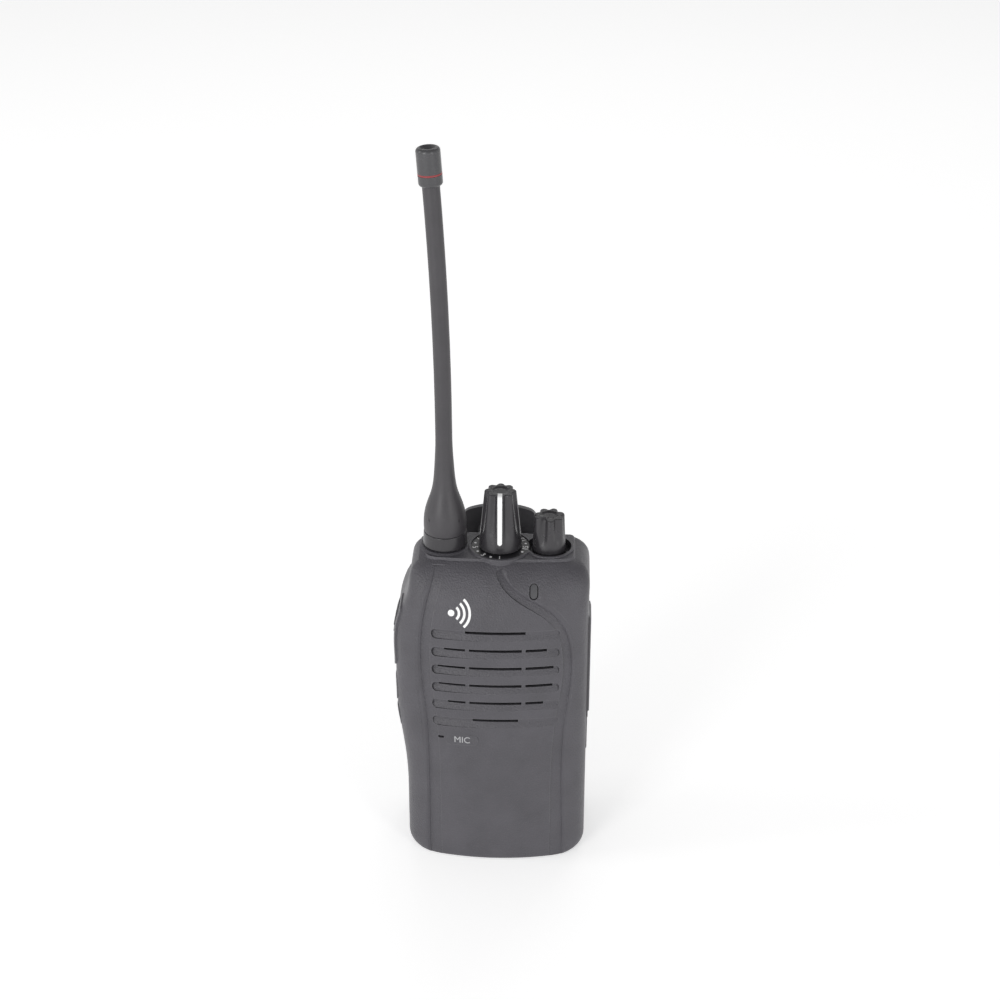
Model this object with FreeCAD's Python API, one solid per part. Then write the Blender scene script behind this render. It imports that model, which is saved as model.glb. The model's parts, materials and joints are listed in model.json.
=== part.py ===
import FreeCAD, Part
import math
import os

# Hand-held two-way radio, full size, in millimetres.
# +X is the right-hand side as the grille faces the holder, +Y runs from the grille to the belt clip, +Z is up.
# The origin is the centre of the flat bottom that the radio stands on.

V = FreeCAD.Vector

# ---------------------------------------------------------------- driving sizes
HALF_WIDTH = 29.5          # body centre line to a side face
FRONT_Y = -18.25           # foremost line of the bowed front
BACK_Y = 18.25             # back of the battery pack
CROWN_Z = 108.7            # top of the case, under the raised top plate
WALL = 1.8                 # case and battery wall
TOP_WALL = 4.2             # thicker top, which the control seats are sunk into
FIT = 0.15                 # gap between parts that assemble
SLIP = 0.25                # gap round a moving button
PAST = 60.0                # reach of a cutting block that runs right out of the body

PLATE_RISE = 0.8           # raised top plate over the case
PLATE_Z = CROWN_Z + PLATE_RISE
PARTING_Y = 3.0            # back edge of the front case beside the battery
BAY_TOP_Z = CROWN_Z - 11.7
CROWN_FRONT_Y = -8.4       # front crease of the crown
CROWN_BACK_Y = 10.5        # back of the radio above the battery
CROWN_BACK_R = 2.5         # its upright corners
SHOULDER_Z = CROWN_Z - 22.7
SHOULDER_RISE = 25.5       # height of the ellipse the shoulder follows
BOTTOM_CORNER = 5.0        # bottom corners, seen from the front
BASE_ROUND = 1.2           # bottom edge, seen from the side
TOP_CORNER = 6.0           # top corners, seen from the front
GRIP_SWELL = 3.0           # how far the talk-key side stands out
SWELL_LOW_Z, SWELL_RUN = CROWN_Z * 0.25, 35.0
TAPER_LOW_Z, TAPER_RUN = SHOULDER_Z - 3.0, 20.0
FRONT_BOW = 2.4            # rise of the front's arc over its chord
CORNER_X = 9.0             # long corner curve between front and side, across
CORNER_Y = 8.5             # and front to back
CREASE_DEPTH = 0.95        # creases between the front panel and the side rails
CREASE_STEP = 0.35         # crisp step from a crease's inner flank up to the panel
CREASE_OUTER = 2.3         # soft outer flank
FRONT_SLOPE = 0.236        # the bowed front falls back this much per millimetre at the creases
LEFT_CREASE_WIDTHS = 3.8, 2.4
RIGHT_CREASE_WIDTHS = 4.0, 1.6

GRILLE_TOP_Z = SHOULDER_Z + 3.0
LOUVRES = 6
LOUVRE_PITCH = 6.56
LOUVRE_HEIGHT = 3.5
LOUVRE_DEPTH = 0.9
LOUVRE_HALF = HALF_WIDTH - 9.1
LOUVRE_ARC = 17.0          # half of the arc that the louvres cover, in degrees
SLOT_HEIGHT = 1.4
SLOT_LIP = 0.1             # louvre's upper lip to the slot
SLOT_RADIUS = 18.7         # the slots fill a circle in front of the speaker
SLOT_RISE = 0.8            # and it stands a little above the middle of the louvres
SLOT_RIB_X = 9.0           # two ribs part each row of slots
SLOT_RIB = 1.2

ANTENNA_X, ANTENNA_Y = -16.6, 2.0
ANTENNA_R = 7.1            # foot of the antenna
ANTENNA_LIFT = 0.65        # turning gap under it
ANTENNA_SEAM_Z = PLATE_Z + 5.4
SKIRT_OUT = 4.6            # slope round the foot
WHIP_R = 2.65
CORE_R = 1.25              # the radiator inside
WHIP_STRAIGHT_Z = PLATE_Z + 40.5
WHIP_BEND_R = 1150.0
WHIP_TOP_Z = PLATE_Z + 119.5
TIP_R = 3.65
TIP_LENGTH = 11.5
TIP_FOOT = -0.8            # lower end of the cap, from the whip's end
BAND_HEIGHT = 0.6
BAND_UP = 3.3              # colour band above the foot of the tip cap
BAND_SEAT_R = 3.3

CHANNEL_X, CHANNEL_Y = 1.0, 1.0
DIAL_R = 9.4
DIAL_RIM = 0.9
DIAL_DEPTH = 0.7           # dial floor below its rim
DIAL_PLATE = 0.4
DIAL_TOP_Z = PLATE_Z + 0.5
DIAL_DEEP = 2.3            # height of the dial's rim where it overhangs the front
CHANNEL_TOP_Z = DIAL_TOP_Z + 19.6
CHANNEL_BASE_R = 7.0
CHANNEL_TOP_R = 5.15
VOLUME_X, VOLUME_Y = 16.5, 1.0
VOLUME_SEAT_R = 7.1
VOLUME_SEAT_DEPTH = 2.2
VOLUME_RIM = 0.5           # raised rim round the volume knob's seat
VOLUME_TOP_Z = PLATE_Z + 11.7
VOLUME_BASE_R = 5.45
VOLUME_TOP_R = 5.0
SHAFT_R = 2.0
SHAFT_GRIP = 3.0           # top of a shaft below the top of its knob
BUSH_R = 3.5
BUSH_HOLE = 0.1            # gap round a threaded bush
KNOB_GAP = 0.4             # knob to the seat under it
KNOB_HOLLOW_R = 5.2        # room for the nut under a knob
NUT_HEIGHT = 1.4
CAN_HEIGHT = 5.4           # rotary controls under the top wall

LED_X, LED_LOW_Z, LED_HIGH_Z, LED_WIDTH = 12.0, CROWN_Z - 9.2, CROWN_Z - 5.1, 2.2
LED_GROOVE = 0.3           # gap round the lens
LENS_DEEP = 2.0            # thickness of the lens, through the wall and a little more
MIC_X, MIC_Z = -17.7, CROWN_Z * 0.444
MIC_TAB_PROUD = 0.6

TALK_LOW_Z, TALK_HIGH_Z = SHOULDER_Z - 13.5, SHOULDER_Z + 5.5
UPPER_KEY_Z, LOWER_KEY_Z, KEY_LENGTH = TALK_LOW_Z - 10.5, TALK_LOW_Z - 22.0, 7.4
SIDE_KEY_FRONT_Y, SIDE_KEY_BACK_Y = -9.0, -1.4
SIDE_KEY_MIDDLE_Y = (SIDE_KEY_FRONT_Y + SIDE_KEY_BACK_Y) / 2
KEY_CORNER = 2.2
TALK_PROUD = 0.1
KEY_PROUD = 0.15
KEY_FLANGE = 1.1           # lip inside the wall that keeps a key in
KEY_LIP = 0.7
KEY_SLACK = 0.5            # lip to the curved inside of the wall
KEY_NIB_R = 1.4
TALK_TRAVEL = 0.8
KEY_TRAVEL = 0.4
SWITCH_TIP_X = 3.5 - HALF_WIDTH
SWITCH_R, SWITCH_HEIGHT = 1.9, 0.6

JACK_HIGH_Z = SHOULDER_Z + 6.0
JACK_LOW_Z = JACK_HIGH_Z - 42.0
JACK_FRONT_Y, JACK_BACK_Y = -8.0, 2.7
JACK_CORNER = 2.3
JACK_SEAT_X = HALF_WIDTH - 1.3
JACK_PROUD = 0.8
JACK_Y = -3.0
LARGE_JACK_Z, LARGE_JACK_R = JACK_HIGH_Z - 8.0, 1.8
SMALL_JACK_Z, SMALL_JACK_R = JACK_HIGH_Z - 18.0, 1.3
JACK_MARGIN = 4.5          # jack block past the two sockets' centres
JACK_MOUTH = 0.3           # mouth of the sockets behind the seat
JACK_DEEP = 13.8           # bottom of the sockets, from the seat of the cover
NOSE_WALL = 0.9
PLUG_GAP = 0.1             # cover's seals to the mouths of the sockets
COVER_SCREW_Z = JACK_LOW_Z + 7.0
COVER_HINGE_R = 0.75
COVER_HINGE_X, COVER_HINGE_Y = HALF_WIDTH - 0.1, JACK_BACK_Y - COVER_HINGE_R

POST_X, POST_ZS, POST_R = HALF_WIDTH - 5.9, (9.0, BAY_TOP_Z - 4.0), 2.3
CHASSIS_FRONT_Y, CHASSIS_BACK_Y = 0.8, 2.8
CHASSIS_GAP = 0.3          # chassis edge to the case wall
BATTERY_FRONT_Y = 3.2
LID_BACK_Y = 4.8
BATTERY_CORNER = 4.5
BATTERY_SLOPE_Y, BATTERY_SLOPE_Z = 11.0, BAY_TOP_Z - 9.0
BATTERY_TRAVEL = 6.0
LATCH_TRAVEL = 3.0
HOOK_X, HOOK_ZS, HOOK_HALF = HALF_WIDTH - 9.5, (30.0, BAY_TOP_Z - 17.0), 2.6
LATCH_HALF = 6.0
LATCH_REACH = 2.2
LATCH_LOW_Z = 0.4
LATCH_HIGH_Z = 3.0
LATCH_FRONT_Y = -5.0
LATCH_POCKET_Y = -12.5     # front of the pocket that holds the latch and its spring
TERMINAL_XS = (-6.0, 0.0, 6.0)
TERMINAL_LOW_Z, TERMINAL_HIGH_Z = BAY_TOP_Z - 11.0, BAY_TOP_Z - 3.0

CONTACT_X = 14.0           # charging contacts on the back

CLIP_PIN_Y, CLIP_PIN_Z, CLIP_PIN_R = CROWN_BACK_Y + 10.4, CROWN_Z - 7.7, 1.0
CLIP_INNER_Y = CLIP_PIN_Y + 2.3
CLIP_THICK = 1.8
CLIP_HALF = 12.2
CLIP_TAPER = 3.5           # the arm draws in this much towards its tip
CLIP_CORNER = 4.0
CLIP_CROWN_R = 26.0
CLIP_TOP_Z = CROWN_Z + 5.0
CLIP_LOW_Z = CLIP_PIN_Z - 54.0
CLIP_SCREW_X, CLIP_SCREW_Z = 4.0, CLIP_PIN_Z + 3.4

SPEAKER_Z = GRILLE_TOP_Z - LOUVRE_PITCH * (LOUVRES - 1) / 2
SPEAKER_R = 18.0
SPEAKER_HOLE_R = 9.9       # clear hole in the board for the speaker's magnet
NET_Y = FRONT_Y + 4.35
BOARD_FRONT_Y, BOARD_BACK_Y = -4.4, -3.4
BOARD_HALF = HALF_WIDTH - 8.5
BOARD_LOW_Z, BOARD_HIGH_Z = 12.0, BAY_TOP_Z - 0.5


# ---------------------------------------------------------------- helpers
def box(x0, x1, y0, y1, z0, z1):
    return Part.makeBox(x1 - x0, y1 - y0, z1 - z0, V(x0, y0, z0))


def rod(x, y, z, r, length, axis=V(0, 0, 1)):
    return Part.makeCylinder(r, length, V(x, y, z), axis)


def smooth(t):
    t = min(1.0, max(0.0, t))
    return t * t * (3 - 2 * t)


def rounded_box(x0, x1, y0, y1, z0, z1, r, along):
    """A box whose four edges along one axis are rounded."""
    shape = box(x0, x1, y0, y1, z0, z1)
    edges = [e for e in shape.Edges if abs(e.tangentAt(e.FirstParameter).dot(along)) > 0.9]
    return shape.makeFillet(r, edges)


def cut_all(shape, tools):
    for tool in tools:
        shape = shape.cut(tool)
    return shape


def fuse_all(shapes):
    shape = shapes[0]
    for other in shapes[1:]:
        shape = shape.fuse(other)
    return shape.removeSplitter()


def hexagon(x, y, z, across_flats, height):
    r = across_flats / math.sqrt(3)
    points = [V(x + r * math.cos(k * math.pi / 3), y + r * math.sin(k * math.pi / 3), z) for k in range(7)]
    return Part.Face(Part.makePolygon(points)).extrude(V(0, 0, height))


def prism_x(points_yz, x0, x1):
    """A prism along X from a closed outline of (y, z) points."""
    wire = Part.makePolygon([V(x0, y, z) for y, z in points_yz] + [V(x0, *points_yz[0])])
    return Part.Face(wire).extrude(V(x1 - x0, 0, 0))


# ---------------------------------------------------------------- the body's outer form
def corner_inset(z):
    """How far the rounded bottom and top corners draw a side in at height z."""
    if z < BOTTOM_CORNER:
        return BOTTOM_CORNER - math.sqrt(BOTTOM_CORNER**2 - (BOTTOM_CORNER - z) ** 2)
    start = CROWN_Z - TOP_CORNER
    if z > start:
        return TOP_CORNER - math.sqrt(max(0.0, TOP_CORNER**2 - (z - start) ** 2))
    return 0.0


def base_inset(z):
    """How far the rounded bottom edge draws the front and back in at height z."""
    if z < BASE_ROUND:
        return BASE_ROUND - math.sqrt(BASE_ROUND**2 - (BASE_ROUND - z) ** 2)
    return 0.0


def left_edge(z):
    swell = GRIP_SWELL * smooth((z - SWELL_LOW_Z) / SWELL_RUN)
    swell -= (GRIP_SWELL + 2.0) * smooth((z - TAPER_LOW_Z) / TAPER_RUN)
    return -HALF_WIDTH - swell + corner_inset(z)


def right_edge(z):
    return HALF_WIDTH - corner_inset(z)


def front_edge(z):
    if z <= SHOULDER_Z:
        return FRONT_Y
    at_crown = math.sqrt(1 - ((CROWN_Z - SHOULDER_Z) / SHOULDER_RISE) ** 2)
    run = (CROWN_FRONT_Y - FRONT_Y) / (1 - at_crown)
    return FRONT_Y + run * (1 - math.sqrt(1 - ((z - SHOULDER_Z) / SHOULDER_RISE) ** 2))


def curve(a, b, c, d):
    edge = Part.BezierCurve()
    edge.setPoles([a, b, c, d])
    return edge.toShape()


def outline(z, back_y, back_r, inset=0.0, lift=0.0):
    """The body's plan at height z, drawn inset from the outside. lift reads the shoulder from that much higher."""
    top = smooth((z - SHOULDER_Z) / (CROWN_Z - SHOULDER_Z))
    xl, xr = left_edge(z) + inset, right_edge(z) - inset
    yf, yb = front_edge(min(z + lift, CROWN_Z)) + inset + base_inset(z), back_y - inset - base_inset(z)
    cx = CORNER_X - inset - 4.0 * top - (0.85 * corner_inset(z) if z < BOTTOM_CORNER else 0.0)
    cy = CORNER_Y - inset - 4.5 * top
    bow = FRONT_BOW * (1 - 0.65 * top)
    rb = max(0.4, back_r - inset)
    half = (xr - xl) / 2 - cx
    slope = math.asin(half / ((half**2 + bow**2) / (2 * bow)))
    reach = 0.58
    sx, sy = reach * cx * math.cos(slope), reach * cx * math.sin(slope)
    fl, fr = V(xl + cx, yf + bow, z), V(xr - cx, yf + bow, z)
    sl, sr = V(xl, yf + bow + cy, z), V(xr, yf + bow + cy, z)
    up = V(0, reach * cy, 0)
    q = 0.45 * rb
    edges = [
        Part.Arc(fl, V((xl + xr) / 2, yf, z), fr).toShape(),
        curve(fr, fr + V(sx, sy, 0), sr - up, sr),
        Part.makeLine(sr, V(xr, yb - rb, z)),
        curve(V(xr, yb - rb, z), V(xr, yb - q, z), V(xr - q, yb, z), V(xr - rb, yb, z)),
        Part.makeLine(V(xr - rb, yb, z), V(xl + rb, yb, z)),
        curve(V(xl + rb, yb, z), V(xl + q, yb, z), V(xl, yb - q, z), V(xl, yb - rb, z)),
        Part.makeLine(V(xl, yb - rb, z), sl),
        curve(sl, sl - up, fl + V(-sx, sy, 0), fl),
    ]
    return Part.Wire(edges)


def levels(low, high):
    """Heights of the sections, closer together where the form turns."""
    turn = [BOTTOM_CORNER * (1 - math.cos(math.radians(a))) for a in (0, 22, 40, 58, 90)]
    crown = [CROWN_Z - TOP_CORNER * (1 - math.sin(math.radians(a))) for a in (0, 25, 45, 62, 78, 90)]
    sides = [CROWN_Z * share for share in (0.07, 0.10, 0.15, 0.25, 0.35, 0.46, 0.57, 0.67, 0.765)]
    shoulder = [SHOULDER_Z + rise for rise in (2.0, 7.0, 11.5)]
    stations = turn + sides + shoulder + crown
    inside = [z for z in stations if low + 0.05 < z < high - 0.05]
    return [low, *inside, high]


def loft(low, high, back_y, back_r, inset=0.0, lift=0.0):
    wires = [outline(z, back_y, back_r, inset, lift) for z in levels(low, high)]
    return Part.makeLoft(wires, True, False)


# ---------------------------------------------------------------- front case
def bowed_cutter(profile_rz, half_angle):
    """Revolves a profile of (depth below the front, z) round the axis of the bowed front."""
    half = HALF_WIDTH - CORNER_X
    radius = (half**2 + FRONT_BOW**2) / (2 * FRONT_BOW)
    centre = V(0, FRONT_Y + radius, 0)
    points = [V(0, FRONT_Y + d, z) for d, z in profile_rz]
    face = Part.Face(Part.makePolygon(points + [points[0]]))
    face.rotate(centre, V(0, 0, 1), -half_angle)
    return face.revolve(centre, V(0, 0, 1), 2 * half_angle)


def louvre_tops():
    return [GRILLE_TOP_Z - k * LOUVRE_PITCH for k in range(LOUVRES)]


def louvre(top):
    profile = [(-1.0, top), (LOUVRE_DEPTH, top - 0.05), (LOUVRE_DEPTH, top - SLOT_LIP - SLOT_HEIGHT),
               (0.0, top - LOUVRE_HEIGHT), (-1.0, top - LOUVRE_HEIGHT)]
    wedge = bowed_cutter(profile, LOUVRE_ARC)
    r = LOUVRE_HEIGHT / 2 - 0.05
    ends = rounded_box(-LOUVRE_HALF, LOUVRE_HALF, FRONT_Y - 2, FRONT_Y + 8,
                       top - LOUVRE_HEIGHT - 0.05, top + 0.05, r, V(0, 1, 0))
    return wedge.common(ends)


def slot_spans(top):
    """The pieces that a row of slots is in, as (low x, high x)."""
    rise = top - SPEAKER_Z - SLOT_RISE
    if abs(rise) >= SLOT_RADIUS:
        return []
    half = math.sqrt(SLOT_RADIUS**2 - rise**2)
    inner, outer = SLOT_RIB_X - SLOT_RIB / 2, SLOT_RIB_X + SLOT_RIB / 2
    if half < outer + 2:
        return [(-min(half, outer), min(half, outer))]
    return [(-half, -outer), (-inner, inner), (outer, half)]


def slots():
    found = []
    for top in louvre_tops():
        for x0, x1 in slot_spans(top):
            found.append(box(x0, x1, FRONT_Y - 1, FRONT_Y + 6, top - SLOT_LIP - SLOT_HEIGHT, top - SLOT_LIP))
    return found


def front_point(body, x, z):
    """The point of the body's front at (x, z). Above and below the front it carries on from the last point."""
    at = min(max(z, BASE_ROUND + 0.1), CROWN_Z - 0.2)
    ray = body.common(Part.makeLine(V(x, FRONT_Y - 5, at), V(x, PARTING_Y, at)))
    return V(x, min(v.Point.y for v in ray.Vertexes), z)


def crease_profile(point, direction, inward, width):
    """A V-shaped section at a point of the path: a soft outer flank, a long inner one and a crisp step."""
    rise = FRONT_SLOPE * width - CREASE_STEP
    section = [(0.0, CREASE_DEPTH), (width, -rise), (width, -rise - 2), (-CREASE_OUTER, -2.0),
               (-CREASE_OUTER, 0.27 * CREASE_OUTER), (-1.2, 0.45), (-0.45, CREASE_DEPTH - 0.3)]
    wire = Part.makePolygon([V(inward * across, deep, 0) for across, deep in section + section[:1]])
    wire.rotate(V(0, 0, 0), V(0, 1, 0), math.degrees(math.atan2(direction.x, direction.z)))
    wire.translate(point)
    return wire


def crease(body, line, widths, inward):
    """A crease cut along a line on the front, its width changing evenly from one end to the other."""
    points = [front_point(body, x, z) for x, z in line]
    path = Part.BSplineCurve()
    path.interpolate(points)
    shell = Part.BRepOffsetAPI.MakePipeShell(Part.Wire(path.toShape()))
    shell.setBiNormalMode(V(0, 1, 0))
    for at, width in zip((path.FirstParameter, path.LastParameter), widths):
        shell.add(crease_profile(path.value(at), path.tangent(at)[0], inward, width), False, False)
    shell.build()
    shell.makeSolid()
    return shell.shape()


def crease_line(side, low_part, high_part):
    """Points of a crease, given in from the side: by height on the low part, by drop from the crown above it."""
    points = [(side * (HALF_WIDTH - inward), z) for inward, z in low_part]
    return points + [(side * (HALF_WIDTH - inward), CROWN_Z - down) for inward, down in high_part]


def left_crease(body):
    line = crease_line(-1, [(7.9, -3.0), (7.9, 20.0), (7.9, CROWN_Z * 0.4)],
                       [(7.2, 50.7), (6.0, 38.7), (6.0, 24.7), (7.3, 14.7), (9.1, 7.2), (10.6, 0.7)])
    return crease(body, line, LEFT_CREASE_WIDTHS, 1)


def right_crease(body):
    line = crease_line(1, [(7.9, -3.0), (8.0, 20.0), (8.1, CROWN_Z * 0.4)],
                       [(7.1, 51.7), (5.8, 40.7), (5.8, 29.7), (7.9, 20.3), (12.5, 14.1), (19.6, 9.7),
                        (24.7, 6.3), (28.1, 1.3)])
    return crease(body, line, RIGHT_CREASE_WIDTHS, -1)


def top_plate():
    """The raised plate that the controls stand on, its flanks drawn in."""
    low = outline(CROWN_Z - 0.3, CROWN_BACK_Y, CROWN_BACK_R, 0.5)
    high = outline(CROWN_Z - 0.3, CROWN_BACK_Y, CROWN_BACK_R, 1.0)
    high.translate(V(0, 0, PLATE_Z - CROWN_Z + 0.3))
    return Part.makeLoft([low, high], True, True)


def side_window(low_z, high_z, grow, x1=3.5 - HALF_WIDTH):
    """A round-cornered block through the talk-key side."""
    return rounded_box(-PAST, x1, SIDE_KEY_FRONT_Y - grow, SIDE_KEY_BACK_Y + grow,
                       low_z - grow, high_z + grow, KEY_CORNER, V(1, 0, 0))


def key_span(middle):
    return middle - KEY_LENGTH / 2, middle + KEY_LENGTH / 2


def side_key_spans():
    return [(TALK_LOW_Z, TALK_HIGH_Z), key_span(UPPER_KEY_Z), key_span(LOWER_KEY_Z)]


def side_window_rims(outer):
    """A low rim round the talk key and a thinner one round each side key."""
    start, end = LOWER_KEY_Z - 10.0, TALK_HIGH_Z + 6.0
    proud = loft(start, end, CROWN_BACK_Y, CROWN_BACK_R, -0.5)
    low = loft(start, end, CROWN_BACK_Y, CROWN_BACK_R, -0.2)
    rims = []
    for (low_z, high_z), skin, width in zip(side_key_spans(), (proud, low, low), (1.3, 0.8, 0.8)):
        ring = side_window(low_z, high_z, SLIP + width, -HALF_WIDTH).common(skin)
        rims.append(ring.cut(outer))
    return rims


def jack_seat(grow):
    return rounded_box(JACK_SEAT_X - grow * 0.6, HALF_WIDTH + 5, JACK_FRONT_Y - grow, PARTING_Y + 4,
                       JACK_LOW_Z - grow, JACK_HIGH_Z + grow, 2.5, V(1, 0, 0))


def screw_posts():
    return [(x, z) for x in (-POST_X, POST_X) for z in POST_ZS]


def case_inside():
    room = loft(WALL, CROWN_Z - TOP_WALL, CROWN_BACK_Y, CROWN_BACK_R, WALL, 1.4)
    roof = box(-PAST, PAST, PARTING_Y, PAST, BAY_TOP_Z, BAY_TOP_Z + WALL)
    return room.cut(roof)


def case_outside():
    return loft(0.0, CROWN_Z, CROWN_BACK_Y, CROWN_BACK_R)


def mic_tab():
    """The raised tab beside the microphone hole, square at one end and round at the other."""
    low, high = MIC_Z - 2.4, MIC_Z + 1.5
    tab = rounded_box(-15.9, -5.6, FRONT_Y - 1, FRONT_Y + 3, low, high, 1.9, V(0, 1, 0))
    tab = tab.fuse(box(-15.9, -12, FRONT_Y - 1, FRONT_Y + 3, low, high))
    skin = bowed_cutter([(-MIC_TAB_PROUD, low - 1), (2.0, low - 1), (2.0, high + 1), (-0.1, high + 1)], 14)
    return tab.common(skin)


def antenna_skirt():
    """The sloped skirt that rises to the foot of the antenna."""
    foot = CROWN_Z - 1.2
    cone = Part.makeCone(ANTENNA_R + SKIRT_OUT, ANTENNA_R + 0.5, PLATE_Z + 0.4 - foot,
                         V(ANTENNA_X, ANTENNA_Y, foot))
    flank = Part.Face(outline(CROWN_Z - 1.0, CROWN_BACK_Y, CROWN_BACK_R, 0.2)).extrude(V(0, 0, 6))
    clear_x = CHANNEL_X - DIAL_R - DIAL_RIM + 0.4
    return cone.common(flank).common(box(-PAST, clear_x, -PAST, PAST, foot, foot + 6))


def front_case():
    outer = case_outside()
    dial_boss = rod(CHANNEL_X, CHANNEL_Y, DIAL_TOP_Z - DIAL_DEEP, DIAL_R + DIAL_RIM, DIAL_DEEP)
    dial_boss = dial_boss.makeFillet(0.4, [e for e in dial_boss.Edges if e.BoundBox.ZLength < 0.1])
    dial_boss = dial_boss.common(box(-PAST, PAST, -PAST, CROWN_BACK_Y, CROWN_Z - 9, CROWN_Z + 9))
    volume_rim = rod(VOLUME_X, VOLUME_Y, PLATE_Z - 0.5, VOLUME_SEAT_R + 0.8, 0.5 + VOLUME_RIM)
    volume_rim = volume_rim.makeFillet(0.3, [e for e in volume_rim.Edges if e.BoundBox.ZMin > PLATE_Z])
    shape = outer.cut(left_crease(outer)).cut(right_crease(outer))
    shape = shape.fuse(top_plate()).fuse(dial_boss).fuse(volume_rim)
    for rim in side_window_rims(outer):
        shape = shape.fuse(rim)
    shape = shape.fuse(mic_tab()).fuse(antenna_skirt())

    shape = shape.cut(case_inside())
    pad = box(JACK_SEAT_X - 1.8, HALF_WIDTH - 0.5, JACK_FRONT_Y - 2, CHASSIS_FRONT_Y - FIT,
              JACK_LOW_Z - 2, JACK_HIGH_Z + 2).common(outer)
    core = loft(CREASE_DEPTH, CROWN_Z - TOP_WALL, CROWN_BACK_Y, CROWN_BACK_R, CREASE_DEPTH + 0.3)
    posts = [rod(x, FRONT_Y, z, POST_R, CHASSIS_FRONT_Y - FIT - FRONT_Y, V(0, 1, 0)).common(core)
             for x, z in screw_posts()]
    latch_house = box(-LATCH_HALF - 2.6, LATCH_HALF + 2.6, LATCH_POCKET_Y - 1.2, CHASSIS_FRONT_Y - FIT,
                      1.0, LATCH_HIGH_Z + 1.6)
    for extra in [pad, latch_house, *posts]:
        shape = shape.fuse(extra)

    tools = [box(-PAST, PAST, PARTING_Y, PAST, -5, BAY_TOP_Z)]
    tools += [louvre(top) for top in louvre_tops()] + slots()
    tools += [rod(x, -8, z, 0.95, 12, V(0, 1, 0)) for x, z in screw_posts()]
    tools += [side_window(low, high, SLIP) for low, high in side_key_spans()]
    tools.append(jack_seat(SLIP))
    tools += [rod(JACK_SEAT_X - 4, JACK_Y, z, r + NOSE_WALL + 0.4, 8, V(1, 0, 0)) for z, r in sockets()]
    tools.append(rod(JACK_SEAT_X - 3, JACK_Y, COVER_SCREW_Z, 1.3, 8, V(1, 0, 0)))
    tools.append(led_window(LED_GROOVE))
    tools.append(rounded_box(MIC_X - 1.0, MIC_X + 1.0, FRONT_Y - 1, FRONT_Y + 6,
                             MIC_Z - 0.45, MIC_Z + 0.45, 0.4, V(0, 1, 0)))
    tools.append(rod(ANTENNA_X, ANTENNA_Y, CROWN_Z - 8, 4.6, 20))
    tools.append(rod(CHANNEL_X, CHANNEL_Y, CROWN_Z - 8, BUSH_R + BUSH_HOLE, 20))
    tools.append(rod(CHANNEL_X, CHANNEL_Y, DIAL_TOP_Z - DIAL_DEPTH, DIAL_R, 5))
    tools += [rod(x, y, CROWN_Z - TOP_WALL - 0.1, BUSH_R + 1.25, 1.05)
              for x, y in ((CHANNEL_X, CHANNEL_Y), (VOLUME_X, VOLUME_Y))]
    tools.append(rod(VOLUME_X, VOLUME_Y, PLATE_Z - VOLUME_SEAT_DEPTH, VOLUME_SEAT_R, 6))
    tools.append(rod(VOLUME_X, VOLUME_Y, CROWN_Z - 8, BUSH_R + BUSH_HOLE, 20))
    tools.append(box(-LATCH_HALF - 1.4, LATCH_HALF + 1.4, LATCH_POCKET_Y, 5, -1, LATCH_HIGH_Z + 0.4))
    tools.append(box(-LATCH_HALF - 0.6, LATCH_HALF + 0.6, CHASSIS_FRONT_Y - 3, 5, -1, 6.0))
    tools += [rod(x, CROWN_BACK_Y - 4, CLIP_SCREW_Z, 1.15, 6, V(0, 1, 0)) for x in (-CLIP_SCREW_X, CLIP_SCREW_X)]
    return cut_all(shape, tools)


def led_window(grow):
    half = LED_WIDTH / 2 + grow
    return rounded_box(LED_X - half, LED_X + half, FRONT_Y - 2, PARTING_Y - 5, LED_LOW_Z - grow, LED_HIGH_Z + grow,
                       half - 0.02, V(0, 1, 0))


def wall_slice(outer_inset, inner_inset):
    """The part of the sloping shoulder between two depths below its surface."""
    low, high = SHOULDER_Z + 4, CROWN_Z - 1.0
    skin = loft(low, high, CROWN_BACK_Y, CROWN_BACK_R, outer_inset)
    return skin.cut(loft(low - 1, high + 0.5, CROWN_BACK_Y, CROWN_BACK_R, inner_inset))


def led_lens():
    """A window pane a little below the surface, held by the edge of its slot."""
    pane = led_window(0.0).common(wall_slice(0.3, LENS_DEEP))
    return max(pane.Solids, key=lambda solid: solid.Volume)


def led_chip():
    """The indicator lamp on its small board behind the lens."""
    y = front_edge(LED_HIGH_Z) + LENS_DEEP + 2.5
    board = box(LED_X - 2.4, LED_X + 2.4, y + 1.0, y + 1.8, LED_LOW_Z - 3.0, LED_HIGH_Z - 3.0)
    lamp = box(LED_X - 0.8, LED_X + 0.8, y, y + 1.0, LED_LOW_Z - 1.0, LED_LOW_Z + 0.6)
    return board.fuse(lamp).removeSplitter()


def channel_dial():
    ring = rod(CHANNEL_X, CHANNEL_Y, DIAL_TOP_Z - DIAL_DEPTH, DIAL_R - FIT, DIAL_PLATE)
    return ring.cut(rod(CHANNEL_X, CHANNEL_Y, DIAL_TOP_Z - 1, BUSH_R + 0.3, 2))


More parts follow.
